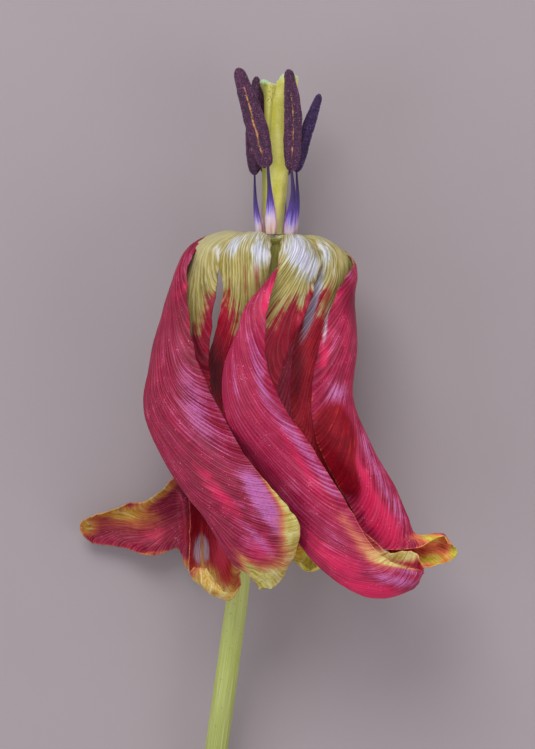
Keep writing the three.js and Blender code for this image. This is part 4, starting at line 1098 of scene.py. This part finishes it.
def filament(number, foot, bend, top, facing, half_width, stain, material):
    t = np.linspace(0, 1, FILAMENT_RINGS)
    centres = through([foot, bend, top], t * 2)
    taper = through(np.array(FILAMENT_TAPER)[:, None], t * (len(FILAMENT_TAPER) - 1))
    angle = np.linspace(0, 2 * np.pi, FILAMENT_SIDES, endpoint=False)[None]
    strap = 1 + 0.05 * swell(angle * 3, t[:, None] * 9, 30 + number)
    keel = 1 + 0.35 * np.exp(-((np.sin(angle) - 1) / 0.12) ** 2)
    wide = half_width * taper * strap
    deep = FILAMENT_DEPTH * np.sqrt(taper) * strap * keel
    rings = hoops(centres, wide, deep, facing, FILAMENT_SIDES)
    readings = {"along": t[:, None] + stain, "girth": np.abs(angle / np.pi - 1) * 2 + number,
                "brink": np.abs(np.cos(angle)) ** 8}
    return sleeve(f"filament_strap_{number}", rings, readings, material)


def anther(number, foot, middle, tip, facing, half_width, seam, material):
    t = 0.5 - 0.5 * np.cos(np.linspace(0.03, 0.97, ANTHER_RINGS) * np.pi)
    centres = through([foot, middle, tip], t * 2)
    bulk = through(np.array(ANTHER_SWELL)[:, None], t * (len(ANTHER_SWELL) - 1))
    bulk = bulk * np.sqrt(1 - np.clip(1 - t[:, None] / 0.05, 0, 0.97) ** 2)
    bulk = bulk * np.sqrt(1 - np.clip(1 - (1 - t[:, None]) / 0.07, 0, 0.97) ** 2)
    angle = np.linspace(0, 2 * np.pi, ANTHER_SIDES, endpoint=False)[None]
    front = np.exp(-((np.sin(angle) - 1) / 0.16) ** 2)
    back = np.exp(-((np.sin(angle) + 1) / 0.16) ** 2)
    lumps = 1 + 0.07 * swell(angle * 1.3, t[:, None] * 8, 50 + number) \
        + 0.04 * swell(angle * 4, t[:, None] * 22, 60 + number)
    wide = half_width * bulk * lumps
    deep = ANTHER_DEPTH * bulk * lumps * (1 - ANTHER_FURROW * front - ANTHER_FURROW * back)
    rings = hoops(centres, wide, deep, facing, ANTHER_SIDES)
    along = unit(np.gradient(centres, axis=0))[:, None]
    tails = np.cos(angle) ** 2 * np.maximum(0, 1 - t[:, None] / 0.06)
    rings = rings - along * (0.5 * tails)[..., None]
    middle_share = np.clip((t[:, None] - 0.06) / 0.1, 0, 1) * np.clip((0.93 - t[:, None]) / 0.2, 0, 1)
    broken = 0.7 + 1.1 * swell(t[:, None] * 30, angle * 5, 70 + number)
    across = angle - np.pi / 2 + 0.12 * swell(t[:, None] * 9, angle * 0, 75 + number)
    shown = np.exp(-(across / 0.11) ** 2) * middle_share * broken * seam
    gilded = (0.4 * np.exp(-(across / 0.4) ** 2) + 0.8 * np.exp(-(across / 0.1) ** 2)) * middle_share * seam
    readings = {"seam": shown, "gilded": gilded, "dusted": np.clip(1 - 0.35 * shown, 0.0, 1)}
    return sleeve(f"anther_sacs_{number}", rings, readings, material)


strap_skin, sac_skin = filament_material(), anther_material()
brown_pollen = pollen_material("pollen_brown", "3c1a38", "6a3058", "c090b0")
blue_pollen = pollen_material("pollen_blue", "2a1c56", "4c3078", "a08cc8")
for number, row in enumerate(STAMENS, 1):
    foot, bend, top, low, centre, tip, facing, broad, plump, seam, stain = row
    strap = filament(number, foot, bend, top, facing, broad, stain, strap_skin)
    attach(strap, "root")
    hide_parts(f"filament_{number}")
    sacs = anther(number, low, centre, tip, facing, plump, seam, sac_skin)
    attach(sacs, "root")
    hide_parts(f"anther_{number}")
    pollen = strew(f"pollen_{number}", sacs, POLLEN_RADIUS, POLLEN_PER_MM2, 80 + number,
                   blue_pollen if number == 5 else brown_pollen)
    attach(pollen, "root")


# ---------------------------------------------------------------- floor, light and camera
# The flower lies on a plain pale floor. Light comes from a large soft panel beyond the
# pistil, as from a window above it, with weaker panels to fill the shadows.

def floor_material():
    material, tree, shader = surface("pale_floor")
    tree.links.new(mix(tree, speckle(tree, 40.0), "9c9296", "a2989c"),
                   shader.inputs["Base Color"])
    shader.inputs["Roughness"].default_value = 0.9
    return material


FLOOR_SIDE = 6.0
bpy.ops.mesh.primitive_plane_add(size=FLOOR_SIDE, location=(0, 0, 0))
floor = bpy.context.object
floor.name = "floor"
floor.data.materials.append(floor_material())
floor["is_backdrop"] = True


def panel(name, place, size, power, colour):
    """A square soft light that looks at the flower."""
    light = bpy.data.lights.new(name, "AREA")
    light.size = size
    light.energy = power
    light.color = colour
    lamp = bpy.data.objects.new(name, light)
    bpy.context.scene.collection.objects.link(lamp)
    lamp.location = place
    lamp.rotation_euler = (FLOWER - Vector(place)).to_track_quat("-Z", "Y").to_euler()


panel("window", (-0.20, 0.70, 0.80), 0.6, 6.6, (1.0, 0.98, 0.96))
panel("fill_left", (-0.8, -0.1, 0.5), 0.6, 2.2, (0.92, 0.95, 1.0))
panel("fill_right", (0.8, -0.3, 0.6), 0.6, 2.2, (1.0, 0.94, 0.92))

world = bpy.data.worlds.new("studio")
world.use_nodes = True
world.node_tree.nodes["Background"].inputs["Color"].default_value = (0.80, 0.80, 0.84, 1.0)
world.node_tree.nodes["Background"].inputs["Strength"].default_value = 0.62
bpy.context.scene.world = world

VIEW_HEIGHT = 149.8              # how much of the flower the picture takes in, top to bottom
VIEW_MIDDLE = (-1.5, -26.9)
CAMERA_DISTANCE = 700.0
camera = bpy.data.cameras.new("camera")
camera.sensor_fit = "VERTICAL"
camera.sensor_height = 24.0
camera.lens = camera.sensor_height * CAMERA_DISTANCE / VIEW_HEIGHT
camera.clip_start = 0.01
viewer = bpy.data.objects.new("camera", camera)
bpy.context.scene.collection.objects.link(viewer)
viewer.location = FLOWER + Vector((*VIEW_MIDDLE, CAMERA_DISTANCE)) * MM
bpy.context.scene.camera = viewer

bpy.context.scene.view_settings.view_transform = "Standard"

low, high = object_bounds()
